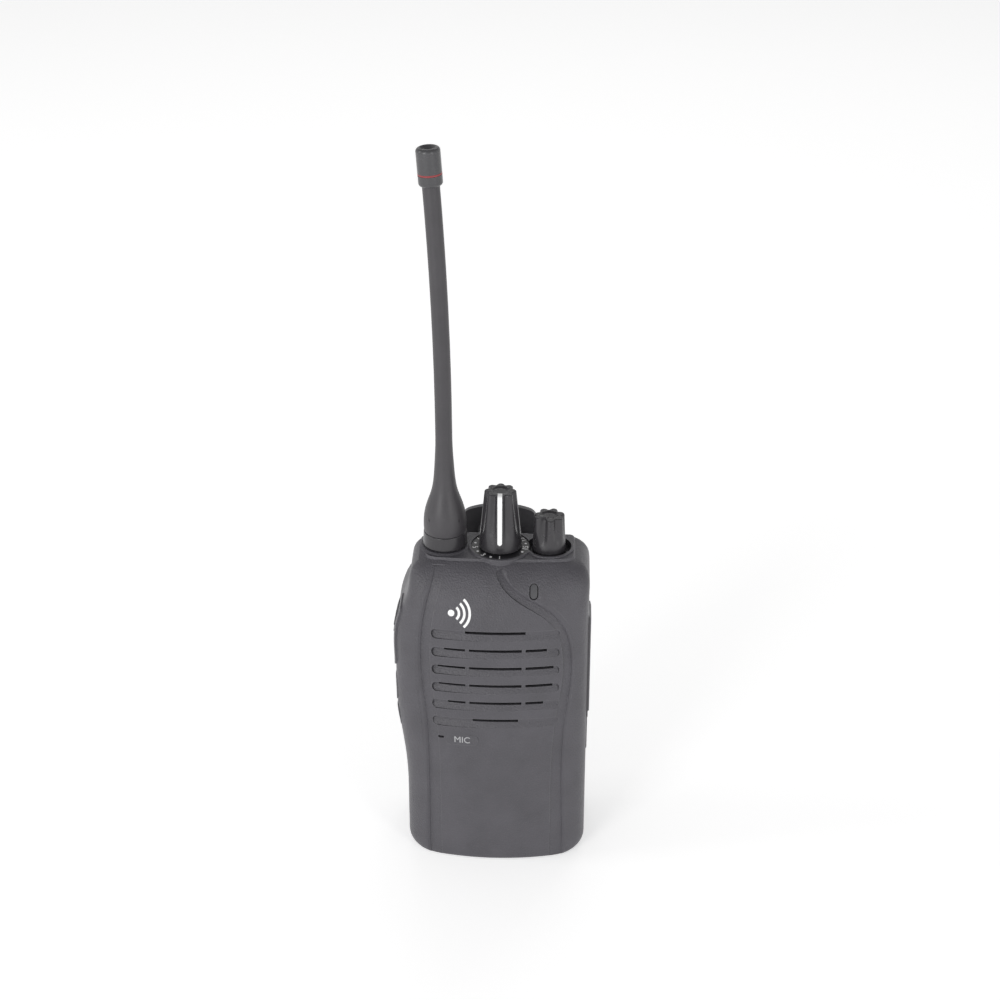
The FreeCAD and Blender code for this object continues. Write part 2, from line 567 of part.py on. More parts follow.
# ---------------------------------------------------------------- chassis, seal and screws
def rear_chassis():
    low, high = WALL + 0.4, BAY_TOP_Z - 0.4
    plate = loft(low, high, CROWN_BACK_Y, CROWN_BACK_R, WALL + CHASSIS_GAP)
    plate = plate.common(box(-PAST, PAST, CHASSIS_FRONT_Y, CHASSIS_BACK_Y, 3.5, high))
    tools = []
    for x, z in screw_posts():
        tools.append(rod(x, -2, z, 1.15, 8, V(0, 1, 0)))
        tools.append(rod(x, CHASSIS_BACK_Y - 1.3, z, 2.1, 3, V(0, 1, 0)))
    for x in (-HOOK_X, HOOK_X):
        for z in HOOK_ZS:
            tools.append(box(x - HOOK_HALF - 0.4, x + HOOK_HALF + 0.4, 0, 4, z - 5 - BATTERY_TRAVEL, z))
    tools.append(box(-9.5, 9.5, 0, 4, TERMINAL_LOW_Z - 0.5, TERMINAL_HIGH_Z + 0.5))
    tools.append(box(-LATCH_HALF - 0.6, LATCH_HALF + 0.6, 0, 4, 0, 6.0))
    return cut_all(plate, tools)


def main_seal():
    def band(inset, low, high):
        return loft(low, high, CROWN_BACK_Y, CROWN_BACK_R, inset).common(
            box(-PAST, PAST, CHASSIS_FRONT_Y - 1.0, CHASSIS_FRONT_Y, low, high))

    loop = band(WALL + 0.3, 6.3, BAY_TOP_Z - 0.6).cut(band(WALL + 1.3, 7.3, BAY_TOP_Z - 1.6))
    holes = [rod(x, -3, z, 2.6, 8, V(0, 1, 0)) for x, z in screw_posts()]
    pad = box(JACK_SEAT_X - 2.0, 40, -3, 3, JACK_LOW_Z - 2.2, JACK_HIGH_Z + 2.2)
    inner = box(JACK_SEAT_X - 3.0, JACK_SEAT_X - 2.0, CHASSIS_FRONT_Y - 1.0, CHASSIS_FRONT_Y,
                JACK_LOW_Z - 3.2, JACK_HIGH_Z + 1.0)
    loop = cut_all(loop, [pad, *holes]).fuse(cut_all(inner, holes))
    return Part.makeCompound(loop.removeSplitter().Solids)


def chassis_screws():
    screws = []
    for x, z in screw_posts():
        head = rod(x, CHASSIS_BACK_Y - 1.25, z, 1.85, 1.15, V(0, 1, 0))
        cross = box(x - 0.3, x + 0.3, CHASSIS_BACK_Y - 0.7, 5, z - 1.1, z + 1.1)
        cross = cross.fuse(box(x - 1.1, x + 1.1, CHASSIS_BACK_Y - 0.7, 5, z - 0.3, z + 0.3))
        shank = rod(x, -5.5, z, 0.9, CHASSIS_BACK_Y - 1.25 + 5.5, V(0, 1, 0))
        screws.append(head.fuse(shank).cut(cross).removeSplitter())
    return Part.makeCompound(screws)


# ---------------------------------------------------------------- speaker and microphone
def speaker_net():
    return rod(0, NET_Y, SPEAKER_Z, SPEAKER_R + 1.2, 0.35, V(0, 1, 0))


def speaker_frame():
    y = NET_Y + 0.4
    flange = rod(0, y, SPEAKER_Z, SPEAKER_R, 0.9, V(0, 1, 0))
    basket = Part.makeCone(SPEAKER_R - 1.5, 10.2, 3.4, V(0, y + 0.9, SPEAKER_Z), V(0, 1, 0))
    hollow = Part.makeCone(SPEAKER_R - 2.1, 9.4, 3.3, V(0, y + 0.4, SPEAKER_Z), V(0, 1, 0))
    mouth = rod(0, y - 0.1, SPEAKER_Z, SPEAKER_R - 2.1, 0.6, V(0, 1, 0))
    return flange.fuse(basket).removeSplitter().cut(hollow).cut(mouth)


def speaker_cone():
    y = NET_Y + 0.55
    outer = Part.makeCone(SPEAKER_R - 2.4, 4.0, 1.9, V(0, y, SPEAKER_Z), V(0, 1, 0))
    inner = Part.makeCone(SPEAKER_R - 2.7, 3.7, 1.9, V(0, y - 0.25, SPEAKER_Z), V(0, 1, 0))
    dome = Part.makeSphere(6.0, V(0, y + 5.9, SPEAKER_Z)).common(
        rod(0, y + 0.4, SPEAKER_Z, 4.1, 1.5, V(0, 1, 0)))
    return outer.cut(inner).fuse(dome).removeSplitter()


def speaker_magnet():
    y = NET_Y + 4.7
    yoke = rod(0, y, SPEAKER_Z, 9.6, 1.0, V(0, 1, 0))
    magnet = rod(0, y + 1.0, SPEAKER_Z, 8.4, 2.6, V(0, 1, 0))
    return yoke.fuse(magnet).removeSplitter()


def mic_boot():
    y = FRONT_Y + FRONT_BOW + WALL + 0.1
    boot = rod(MIC_X, y, MIC_Z, 3.0, 3.0, V(0, 1, 0))
    return boot.cut(rod(MIC_X, y + 0.9, MIC_Z, 2.05, 4, V(0, 1, 0))).cut(
        rod(MIC_X, y - 1, MIC_Z, 0.6, 4, V(0, 1, 0)))


def mic_capsule():
    y = FRONT_Y + FRONT_BOW + WALL + 1.05
    return rod(MIC_X, y, MIC_Z, 2.0, 1.6, V(0, 1, 0))


# ---------------------------------------------------------------- boards
def main_board():
    board = rounded_box(-BOARD_HALF, BOARD_HALF, BOARD_FRONT_Y, BOARD_BACK_Y, BOARD_LOW_Z, BOARD_HIGH_Z,
                        1.5, V(0, 1, 0))
    board = board.cut(rod(0, BOARD_FRONT_Y - 2, SPEAKER_Z, SPEAKER_HOLE_R, 6, V(0, 1, 0)))
    low, high = jack_block_span()
    room = box(JACK_SEAT_X - JACK_DEEP - 1.5, PAST, BOARD_FRONT_Y - 2, BOARD_BACK_Y + 2, low - 0.5, high + 0.5)
    return board.cut(room)


def shield_cans():
    side, middle = BOARD_HALF - 2.0, SPEAKER_Z - SPEAKER_HOLE_R - 4.6
    spans = [(-side, -2, 15, middle - 22), (1, side, 15, middle - 22), (-side, side, middle - 19, middle)]
    cans = []
    for x0, x1, z0, z1 in spans:
        can = rounded_box(x0, x1, BOARD_BACK_Y, BOARD_BACK_Y + 2.6, z0, z1, 0.8, V(0, 1, 0))
        hollow = box(x0 + 0.3, x1 - 0.3, BOARD_BACK_Y - 1, BOARD_BACK_Y + 2.3, z0 + 0.3, z1 - 0.3)
        cans.append(can.cut(hollow))
    return Part.makeCompound(cans)


def sockets():
    return [(LARGE_JACK_Z, LARGE_JACK_R), (SMALL_JACK_Z, SMALL_JACK_R)]


def jack_block_span():
    return SMALL_JACK_Z - JACK_MARGIN + 1.0, LARGE_JACK_Z + JACK_MARGIN


def jack_block():
    low, high = jack_block_span()
    bottom = JACK_SEAT_X - JACK_DEEP
    block = box(bottom - 1.0, JACK_SEAT_X - 2.0, JACK_Y - 2.4, JACK_Y + 2.2, low, high)
    for z, r in sockets():
        block = block.fuse(rod(JACK_SEAT_X - 2.3, JACK_Y, z, r + NOSE_WALL, 2.3 - JACK_MOUTH, V(1, 0, 0)))
    for z, r in sockets():
        block = block.cut(rod(bottom, JACK_Y, z, r, JACK_DEEP + 3, V(1, 0, 0)))
    return block.removeSplitter()


def key_switch_board():
    x = SWITCH_TIP_X + SWITCH_HEIGHT
    return box(x, x + 0.5, SIDE_KEY_FRONT_Y + 1.0, SIDE_KEY_BACK_Y - 0.4, LOWER_KEY_Z - 5.5, TALK_HIGH_Z - 1.5)


def key_switch_middles():
    return [(low + high) / 2 for low, high in side_key_spans()]


def key_switches():
    return Part.makeCompound([rod(SWITCH_TIP_X, SIDE_KEY_MIDDLE_Y, z, SWITCH_R, SWITCH_HEIGHT, V(1, 0, 0))
                              for z in key_switch_middles()])


def terminal_block():
    block = box(-9.0, 9.0, BOARD_BACK_Y + 0.1, CHASSIS_BACK_Y - 0.6, TERMINAL_LOW_Z, TERMINAL_HIGH_Z)
    return cut_all(block, [box(x - 1.3, x + 1.3, -1.0, 4, TERMINAL_LOW_Z + 0.9, TERMINAL_HIGH_Z - 0.9)
                           for x in TERMINAL_XS])


def terminal_springs():
    """Three bowed leaf contacts that stand out of the chassis window."""
    springs = []
    low_z, high_z = TERMINAL_LOW_Z + 1.2, TERMINAL_HIGH_Z - 1.2
    foot_y, bend_y, tip_y = -0.9, 1.0, BATTERY_FRONT_Y - 0.15
    for x in TERMINAL_XS:
        start, low = V(x - 1.0, foot_y, low_z), V(x - 1.0, bend_y, low_z)
        middle = V(x - 1.0, tip_y, (low_z + high_z) / 2)
        high, end = V(x - 1.0, bend_y, high_z), V(x - 1.0, foot_y, high_z)
        bow = Part.Arc(low, middle, high).toShape()
        inner = Part.Arc(low + V(0, 0, 0.25), middle - V(0, 0.25, 0), high - V(0, 0, 0.25)).toShape()
        loop = [Part.makeLine(start, low), bow, Part.makeLine(high, end),
                Part.makeLine(end, end - V(0, 0, 0.25)), Part.makeLine(end - V(0, 0, 0.25), high - V(0, 0, 0.25)),
                inner, Part.makeLine(low + V(0, 0, 0.25), start + V(0, 0, 0.25)),
                Part.makeLine(start + V(0, 0, 0.25), start)]
        face = Part.Face(Part.Wire(Part.__sortEdges__(loop)))
        springs.append(face.extrude(V(2.0, 0, 0)))
    return Part.makeCompound(springs)


# ---------------------------------------------------------------- controls on the top
def dial_face_z():
    return DIAL_TOP_Z - DIAL_DEPTH + DIAL_PLATE


def control_floor():
    """Bottom of the hole that each control's shaft turns in."""
    return CROWN_Z - TOP_WALL - 0.1 - CAN_HEIGHT + 1.0


def control_body(x, y, seat_z, width, depth):
    """A rotary control: its can under the top wall and its threaded bush through it."""
    ceiling = CROWN_Z - TOP_WALL - 0.1
    can = box(x - width / 2, x + width / 2, y - depth / 2, y + depth / 2, ceiling - CAN_HEIGHT, ceiling)
    can = can.makeFillet(0.6, [e for e in can.Edges if abs(e.tangentAt(e.FirstParameter).z) > 0.9])
    bush = rod(x, y, ceiling - 1, BUSH_R, seat_z + 2.0 - ceiling + 1)
    bore = rod(x, y, control_floor(), SHAFT_R + 0.05, 30)
    return can.fuse(bush).removeSplitter().cut(bore)


def channel_switch():
    return control_body(CHANNEL_X, CHANNEL_Y, dial_face_z(), 12.0, 11.0)


def volume_switch():
    return control_body(VOLUME_X, VOLUME_Y, PLATE_Z - VOLUME_SEAT_DEPTH, 10.5, 11.0)


def control_nuts():
    nuts = []
    for x, y, z in ((CHANNEL_X, CHANNEL_Y, dial_face_z()), (VOLUME_X, VOLUME_Y, PLATE_Z - VOLUME_SEAT_DEPTH)):
        nut = hexagon(x, y, z, 8.8, NUT_HEIGHT).common(Part.makeCone(5.6, 4.2, NUT_HEIGHT, V(x, y, z)))
        nuts.append(nut.cut(rod(x, y, z - 1, BUSH_R + 0.02, 5)))
    return Part.makeCompound(nuts)


def control_seals():
    """Rubber rings under the top wall, round each bush."""
    top = CROWN_Z - TOP_WALL
    seals = []
    for x, y in ((CHANNEL_X, CHANNEL_Y), (VOLUME_X, VOLUME_Y)):
        groove = rod(x, y, top, BUSH_R + 1.2, 0.9)
        seals.append(groove.cut(rod(x, y, top - 1, BUSH_R + 0.02, 4)))
    return Part.makeCompound(seals)


def control_shaft(x, y, low_z, high_z):
    shaft = rod(x, y, low_z, SHAFT_R, high_z - low_z)
    flat = box(x - 5, x + 5, y + SHAFT_R * 0.6, y + 5, high_z - 9, high_z + 1)
    return shaft.cut(flat)


def fluted_cone(x, y, low, high, r_low, r_high, count, groove_r, phase, skirt):
    """A tapered knob with upright grooves above a plain skirt."""
    lean = math.atan2(r_low - r_high, high - low)
    body = Part.makeCone(r_low, r_high, high - low, V(x, y, low))
    body = body.makeFillet(0.5, [e for e in body.Edges if e.BoundBox.ZMin > high - 0.01])
    for k in range(count):
        a = math.radians(phase + 360.0 * k / count)
        out = V(math.cos(a), math.sin(a), 0)
        start = V(x, y, low + skirt) + out * (r_low - (skirt * math.tan(lean)) + groove_r * 0.45)
        direction = V(-out.x * math.sin(lean), -out.y * math.sin(lean), math.cos(lean))
        groove = Part.makeCylinder(groove_r, high - low + 4, start, direction)
        body = body.cut(groove.fuse(Part.makeSphere(groove_r, start)))
    return body


def knob_hollow(x, y, low, nut_height):
    return rod(x, y, low - 1, KNOB_HOLLOW_R, nut_height + 1)


def channel_knob():
    x, y, low, high = CHANNEL_X, CHANNEL_Y, dial_face_z() + KNOB_GAP, CHANNEL_TOP_Z
    body = fluted_cone(x, y, low, high, CHANNEL_BASE_R, CHANNEL_TOP_R, 8, 0.75, 22.5, 2.4)
    lean = (CHANNEL_BASE_R - CHANNEL_TOP_R) / (high - low)
    rib = prism_x([(y, low + 1.2), (y - CHANNEL_BASE_R - 0.25 + lean * 1.2, low + 1.2),
                   (y - CHANNEL_TOP_R - 0.35, high - 0.8), (y - CHANNEL_TOP_R + 0.9, high + 0.25),
                   (y, high + 0.25)], x - 1.45, x + 1.45)
    body = body.fuse(rib).removeSplitter()
    body = body.cut(pointer_inlay())
    body = body.cut(knob_hollow(x, y, low, NUT_HEIGHT + 0.8))
    return body.cut(rod(x, y, low, SHAFT_R + 0.02, high - low - SHAFT_GRIP + 0.02))


def pointer_inlay():
    """The white line let into the channel knob's rib."""
    x, y, low, high = CHANNEL_X, CHANNEL_Y, dial_face_z() + KNOB_GAP, CHANNEL_TOP_Z
    lean = (CHANNEL_BASE_R - CHANNEL_TOP_R) / (high - low)
    z0, z1 = low + 1.9, high - 0.9
    y0 = y - CHANNEL_BASE_R - 0.30 + lean * (z0 - low)
    y1 = y - CHANNEL_TOP_R - 0.38
    return prism_x([(y0, z0), (y1, z1), (y - CHANNEL_TOP_R + 0.62, high + 0.02),
                    (y - CHANNEL_TOP_R + 1.0, high - 0.5), (y1 + 0.6, z1), (y0 + 0.6, z0)], x - 0.62, x + 0.62)


def channel_shaft():
    return control_shaft(CHANNEL_X, CHANNEL_Y, control_floor() + 0.1, CHANNEL_TOP_Z - SHAFT_GRIP)


def volume_knob():
    x, y, low, high = VOLUME_X, VOLUME_Y, PLATE_Z - VOLUME_SEAT_DEPTH + KNOB_GAP, VOLUME_TOP_Z
    body = fluted_cone(x, y, low, high, VOLUME_BASE_R, VOLUME_TOP_R, 8, 0.95, 0.0, 2.6)
    fin = rounded_box(x - 0.8, x + 0.8, y - VOLUME_BASE_R - 0.55, y + 0.5, low + 3.0, high + 0.6, 0.5, V(0, 0, 1))
    slope = prism_x([(y - 9, low), (y - VOLUME_BASE_R - 0.55, low), (y - VOLUME_TOP_R - 0.25, high),
                     (y - VOLUME_TOP_R + 0.4, high + 0.6), (y + 0.5, high + 0.35), (y + 0.5, high + 2),
                     (y - 9, high + 2)],
                    x - 3, x + 3)
    fin = fin.cut(slope)
    fin.rotate(V(x, y, 0), V(0, 0, 1), -45)
    body = body.fuse(fin).removeSplitter()
    body = body.cut(knob_hollow(x, y, low, NUT_HEIGHT + 0.7))
    return body.cut(rod(x, y, low, SHAFT_R + 0.02, high - low - SHAFT_GRIP + 0.02))


def volume_shaft():
    return control_shaft(VOLUME_X, VOLUME_Y, control_floor() + 0.1, VOLUME_TOP_Z - SHAFT_GRIP)


# ---------------------------------------------------------------- antenna
def bend_angle(along):
    """The whip's lean at a distance along it."""
    return max(0.0, along - WHIP_STRAIGHT_Z) / WHIP_BEND_R


def whip_point(along):
    a = bend_angle(along)
    straight = min(along, WHIP_STRAIGHT_Z)
    return V(ANTENNA_X - WHIP_BEND_R * (1 - math.cos(a)), ANTENNA_Y, straight + WHIP_BEND_R * math.sin(a))


def whip_direction(along):
    a = bend_angle(along)
    return V(-math.sin(a), 0, math.cos(a))


def turned(profile_rz):
    """Revolves (radius, z) points, smoothed by a curve, round the antenna's axis."""
    spline = Part.BSplineCurve()
    spline.interpolate([V(ANTENNA_X + r, ANTENNA_Y, z) for r, z in profile_rz])
    (r0, z0), (r1, z1) = profile_rz[0], profile_rz[-1]
    edges = [spline.toShape(),
             Part.makeLine(V(ANTENNA_X + r1, ANTENNA_Y, z1), V(ANTENNA_X, ANTENNA_Y, z1)),
             Part.makeLine(V(ANTENNA_X, ANTENNA_Y, z1), V(ANTENNA_X, ANTENNA_Y, z0)),
             Part.makeLine(V(ANTENNA_X, ANTENNA_Y, z0), V(ANTENNA_X + r0, ANTENNA_Y, z0))]
    return Part.Face(Part.Wire(edges)).revolve(V(ANTENNA_X, ANTENNA_Y, 0), V(0, 0, 1), 360)


def bent_rod(r, low, high):
    """A round rod along the bent part of the whip."""
    middle = (low + high) / 2
    path = Part.Wire(Part.Arc(whip_point(low), whip_point(middle), whip_point(high)).toShape())
    ring = Part.Wire(Part.makeCircle(r, whip_point(low), whip_direction(low)))
    return path.makePipeShell([ring], True, True)


def antenna_base():
    low, high = PLATE_Z + ANTENNA_LIFT, ANTENNA_SEAM_Z - 0.12
    cone = Part.makeCone(ANTENNA_R, ANTENNA_R - 0.3, high - low, V(ANTENNA_X, ANTENNA_Y, low))
    rims = [e for e in cone.Edges if e.BoundBox.ZLength < 0.01]
    return cone.makeFillet(0.35, rims).cut(rod(ANTENNA_X, ANTENNA_Y, low - 1, 4.75, 12))


def antenna_sheath():
    z = ANTENNA_SEAM_Z
    profile = [(6.65, z), (6.8, z + 1.8), (6.7, z + 4.4), (6.2, z + 7.6), (5.2, z + 10.8), (4.15, z + 14.0),
               (3.5, z + 17.6), (3.1, z + 22.5), (WHIP_R + 0.12, z + 28.0), (WHIP_R, WHIP_STRAIGHT_Z)]
    bulb = turned(profile)
    for k in range(4):
        a = math.radians(45 + 90 * k)
        out = V(math.cos(a), math.sin(a), 0)
        nick = rounded_box(-0.35, 0.35, -0.5, 0.5, 0, 4.4, 0.3, V(0, 1, 0))
        nick.rotate(V(0, 0, 0), V(0, 0, 1), math.degrees(a) - 90)
        nick.translate(V(ANTENNA_X, ANTENNA_Y, z + 5.0) + out * 6.95)
        bulb = bulb.cut(nick)
    whole = bulb.fuse(bent_rod(WHIP_R, WHIP_STRAIGHT_Z, WHIP_TOP_Z)).removeSplitter()
    core = rod(ANTENNA_X, ANTENNA_Y, z - 1, CORE_R + 0.05, WHIP_STRAIGHT_Z - z + 1)
    plug = rod(ANTENNA_X, ANTENNA_Y, z - 1, 4.75, 3.6)
    return whole.cut(core.fuse(bent_rod(CORE_R + 0.05, WHIP_STRAIGHT_Z, WHIP_TOP_Z))).cut(plug)


def antenna_radiator():
    core = rod(ANTENNA_X, ANTENNA_Y, ANTENNA_SEAM_Z + 2.7, CORE_R, WHIP_STRAIGHT_Z - ANTENNA_SEAM_Z - 2.7)
    return core.fuse(bent_rod(CORE_R, WHIP_STRAIGHT_Z, WHIP_TOP_Z + 2.0)).removeSplitter()


def at_whip_end(shape):
    """Carries a shape made at the origin, standing on +Z, to the end of the whip."""
    lean = math.degrees(bend_angle(WHIP_TOP_Z))
    end = whip_point(WHIP_TOP_Z)
    shape.rotate(V(0, 0, 0), V(0, 1, 0), -lean)
    shape.translate(end)
    return shape


def antenna_tip():
    foot, head = TIP_FOOT, TIP_FOOT + TIP_LENGTH
    cap = rod(0, 0, foot, TIP_R, TIP_LENGTH)
    low = [e for e in cap.Edges if e.BoundBox.ZMax < foot + 0.01]
    high = [e for e in cap.Edges if e.BoundBox.ZMin > head - 0.01]
    cap = cap.makeFillet(1.1, high).makeFillet(1.0, low)
    dimple = Part.makeSphere(3.0, V(0, 0, head + 1.7))
    groove = rod(0, 0, foot + BAND_UP, TIP_R + 1, BAND_HEIGHT + 0.06).cut(rod(0, 0, foot, BAND_SEAT_R, TIP_LENGTH))
    bore = rod(0, 0, foot - 0.1, WHIP_R + 0.02, 0.1 - foot).fuse(rod(0, 0, -0.1, CORE_R + 0.05, 2.4))
    return at_whip_end(cut_all(cap, [dimple, groove, bore]))


def antenna_band():
    ring = rod(0, 0, TIP_FOOT + BAND_UP + 0.03, TIP_R, BAND_HEIGHT)
    ring = ring.makeFillet(0.15, [e for e in ring.Edges if e.BoundBox.ZLength < 0.01])
    return at_whip_end(ring.cut(rod(0, 0, TIP_FOOT, BAND_SEAT_R + 0.02, TIP_LENGTH)))


def antenna_plug():
    """The screw collar moulded into the antenna's foot, with its centre pin."""
    low, high = PLATE_Z + 0.5, ANTENNA_SEAM_Z + 2.4
    collar = rod(ANTENNA_X, ANTENNA_Y, low, 4.7, high - low)
    thread = rod(ANTENNA_X, ANTENNA_Y, low - 1, 3.25, 4.6)
    pin = rod(ANTENNA_X, ANTENNA_Y, low + 0.6, 0.45, 4.0)
    return collar.cut(thread).fuse(pin).removeSplitter()


def antenna_jack():
    top = PLATE_Z + 3.6
    low = CROWN_Z - 7.7
    barrel = rod(ANTENNA_X, ANTENNA_Y, low, 3.175, top - low)
    flange = rod(ANTENNA_X, ANTENNA_Y, CROWN_Z - TOP_WALL - 1.6, 6.0, 1.5)
    collar = rod(ANTENNA_X, ANTENNA_Y, CROWN_Z - TOP_WALL - 0.2, 4.5, PLATE_Z + 0.2 - CROWN_Z + TOP_WALL)
    body = fuse_all([barrel, flange, collar])
    return body.cut(rod(ANTENNA_X, ANTENNA_Y, top - 3.6, 0.65, 5))


# ---------------------------------------------------------------- side keys
def side_key(low_z, high_z, proud, travel):
    """A key in a side window: its face follows the case, with a lip inside and a nib behind."""
    outer = loft(low_z - 6, min(high_z + 6, CROWN_Z - 8), CROWN_BACK_Y, CROWN_BACK_R, -proud)
    y0, y1 = SIDE_KEY_FRONT_Y, SIDE_KEY_BACK_Y
    inner_x = max(left_edge(low_z - KEY_FLANGE), left_edge(high_z + KEY_FLANGE)) + WALL + KEY_SLACK
    face = side_window(low_z, high_z, 0.0, inner_x + KEY_LIP - 0.1).common(outer)
    lip = rounded_box(inner_x, inner_x + KEY_LIP, y0 - KEY_FLANGE, y1 + KEY_FLANGE - 0.2,
                      low_z - KEY_FLANGE, high_z + KEY_FLANGE, KEY_CORNER + 0.2, V(1, 0, 0))
    start, reach = inner_x + KEY_LIP - 0.2, SWITCH_TIP_X - travel - 0.1
    nib = rod(start, SIDE_KEY_MIDDLE_Y, (low_z + high_z) / 2, KEY_NIB_R, reach - start, V(1, 0, 0))
    return fuse_all([face, lip, nib])


def talk_key():
    key = side_key(TALK_LOW_Z, TALK_HIGH_Z, TALK_PROUD, TALK_TRAVEL)
    y0, y1 = SIDE_KEY_FRONT_Y + 1.3, SIDE_KEY_BACK_Y - 1.3
    ribs = []
    for down in (2.0, 4.3, 6.6, 8.9):
        z = TALK_HIGH_Z - down
        x = left_edge(z) - TALK_PROUD + 0.1
        rib = rod(x, y0, z, 0.6, y1 - y0, V(0, 1, 0))
        ribs.append(rib.makeFillet(0.35, [e for e in rib.Edges if e.BoundBox.YLength < 0.01]))
    return fuse_all([key, *ribs])


def upper_side_key():
    return side_key(*key_span(UPPER_KEY_Z), KEY_PROUD, KEY_TRAVEL)


def lower_side_key():
    return side_key(*key_span(LOWER_KEY_Z), KEY_PROUD, KEY_TRAVEL)


# ---------------------------------------------------------------- jack cover
def jack_cover():
    """The rubber cover: a slab with a rolled hinge bead behind, two seals inside and a finger dent on top."""
    skin = loft(JACK_LOW_Z - 6, JACK_HIGH_Z + 6, BACK_Y, BATTERY_CORNER, -JACK_PROUD)
    slab_back = COVER_HINGE_Y - COVER_HINGE_R * 0.6
    slab = rounded_box(JACK_SEAT_X + 0.1, HALF_WIDTH + 4, JACK_FRONT_Y, slab_back,
                       JACK_LOW_Z, JACK_HIGH_Z, JACK_CORNER, V(1, 0, 0)).common(skin)
    outer_rim = [e for e in slab.Edges if e.BoundBox.XMin > HALF_WIDTH + JACK_PROUD - 0.02]
    slab = slab.makeFillet(0.45, outer_rim)
    bead = rod(COVER_HINGE_X, COVER_HINGE_Y, JACK_LOW_Z + 3, COVER_HINGE_R, JACK_HIGH_Z - JACK_LOW_Z - 6)
    seals = [rod(JACK_SEAT_X + 0.3, JACK_Y, z, r + 0.4, 0.3 + JACK_MOUTH - PLUG_GAP, V(-1, 0, 0))
             for z, r in sockets()]
    dent = rod(HALF_WIDTH + 3.3, JACK_FRONT_Y - 2, JACK_HIGH_Z - 1.2, 3.4,
               JACK_BACK_Y - JACK_FRONT_Y + 4, V(0, 1, 0))
    step = box(HALF_WIDTH + JACK_PROUD - 0.4, HALF_WIDTH + 4, JACK_FRONT_Y - 1, JACK_BACK_Y + 1,
               JACK_LOW_Z - 1, JACK_LOW_Z + 3.5)
    hole = rod(JACK_SEAT_X - 1, JACK_Y, COVER_SCREW_Z, 0.9, 8, V(1, 0, 0))
    sink = rod(HALF_WIDTH - 0.3, JACK_Y, COVER_SCREW_Z, 2.2, 4, V(1, 0, 0))
    return cut_all(fuse_all([slab, bead, *seals]), [dent, step, hole, sink]).removeSplitter()


def cover_screw():
    head = rod(HALF_WIDTH - 0.3, JACK_Y, COVER_SCREW_Z, 2.0, 0.95, V(1, 0, 0))
    slot = box(HALF_WIDTH + 0.15, HALF_WIDTH + 2, JACK_Y - 2.2, JACK_Y + 2.2,
               COVER_SCREW_Z - 0.3, COVER_SCREW_Z + 0.3)
    shank = rod(JACK_SEAT_X - 0.5, JACK_Y, COVER_SCREW_Z, 0.85, HALF_WIDTH - 0.3 - JACK_SEAT_X + 0.5, V(1, 0, 0))
    return head.fuse(shank).cut(slot).removeSplitter()


# ---------------------------------------------------------------- battery pack
def battery_block(inset):
    high = BAY_TOP_Z - 0.3 - inset
    block = loft(inset, high, BACK_Y, BATTERY_CORNER, inset)
    slope = prism_x([(BATTERY_SLOPE_Y - inset, high + inset), (BACK_Y - inset, BATTERY_SLOPE_Z - inset),
                     (BACK_Y + 5, BATTERY_SLOPE_Z - inset), (BACK_Y + 5, high + 5),
                     (BATTERY_SLOPE_Y - inset, high + 5)],
                    -PAST, PAST)
    return block.cut(slope)


def latch_wedge(gap):
    """The raked catch and, with a gap, the notch for it. Its flank runs so that the pack's way down and the
    latch's way forward keep the same gap."""
    lean = LATCH_TRAVEL / BATTERY_TRAVEL
    low = LATCH_LOW_Z if gap == 0 else -1.0
    top = LATCH_LOW_Z + LATCH_REACH / lean + gap
    foot = CHASSIS_BACK_Y + 0.2 + gap * math.sqrt(1 + lean**2)
    high_y = foot + lean * (LATCH_LOW_Z + LATCH_REACH / lean - top)
    low_y = foot + lean * (LATCH_LOW_Z + LATCH_REACH / lean - low)
    half = LATCH_HALF + gap
    start = CHASSIS_BACK_Y - 1
    return prism_x([(start, low), (low_y, low), (high_y, top), (start, top)], -half, half)


def label_span():
    return 26.0, BATTERY_SLOPE_Z - 10.0


def battery_case():
    outer = battery_block(0.0).common(box(-PAST, PAST, LID_BACK_Y, PAST, -1, PAST * 3))
    inner = battery_block(WALL).common(box(-PAST, PAST, LID_BACK_Y - 1, PAST, -1, PAST * 3))
    pads = []
    for side in (-1, 1):
        x0 = side * (HALF_WIDTH - 0.5)
        x1 = side * (HALF_WIDTH + 0.55)
        pad = rounded_box(min(x0, x1), max(x0, x1), 8.0, 12.5, 27.0, 42.0, 1.6, V(1, 0, 0))
        pads.append(pad.cut(inner))
    shape = fuse_all([outer.cut(inner), *pads])
    label_low, label_high = label_span()
    tools = [box(-BOARD_HALF, BOARD_HALF, BACK_Y - 0.35, BACK_Y + 1, label_low, label_high)]
    tools += [rounded_box(x - 3.2, x + 3.2, BACK_Y - 0.8, BACK_Y + 1, 5.5, 11.5, 1.0, V(0, 1, 0))
              for x in (-CONTACT_X, CONTACT_X)]
    tools += [box(-15, 15, BACK_Y - 0.7, BACK_Y + 1, z, z + 1.0) for z in (14, 16.5, 19)]
    return cut_all(shape, tools + [latch_wedge(SLIP)])


def strip_span():
    """Height of the battery's contact strips: the springs stay on them while the pack slides."""
    return TERMINAL_LOW_Z - BATTERY_TRAVEL, TERMINAL_HIGH_Z - 0.5


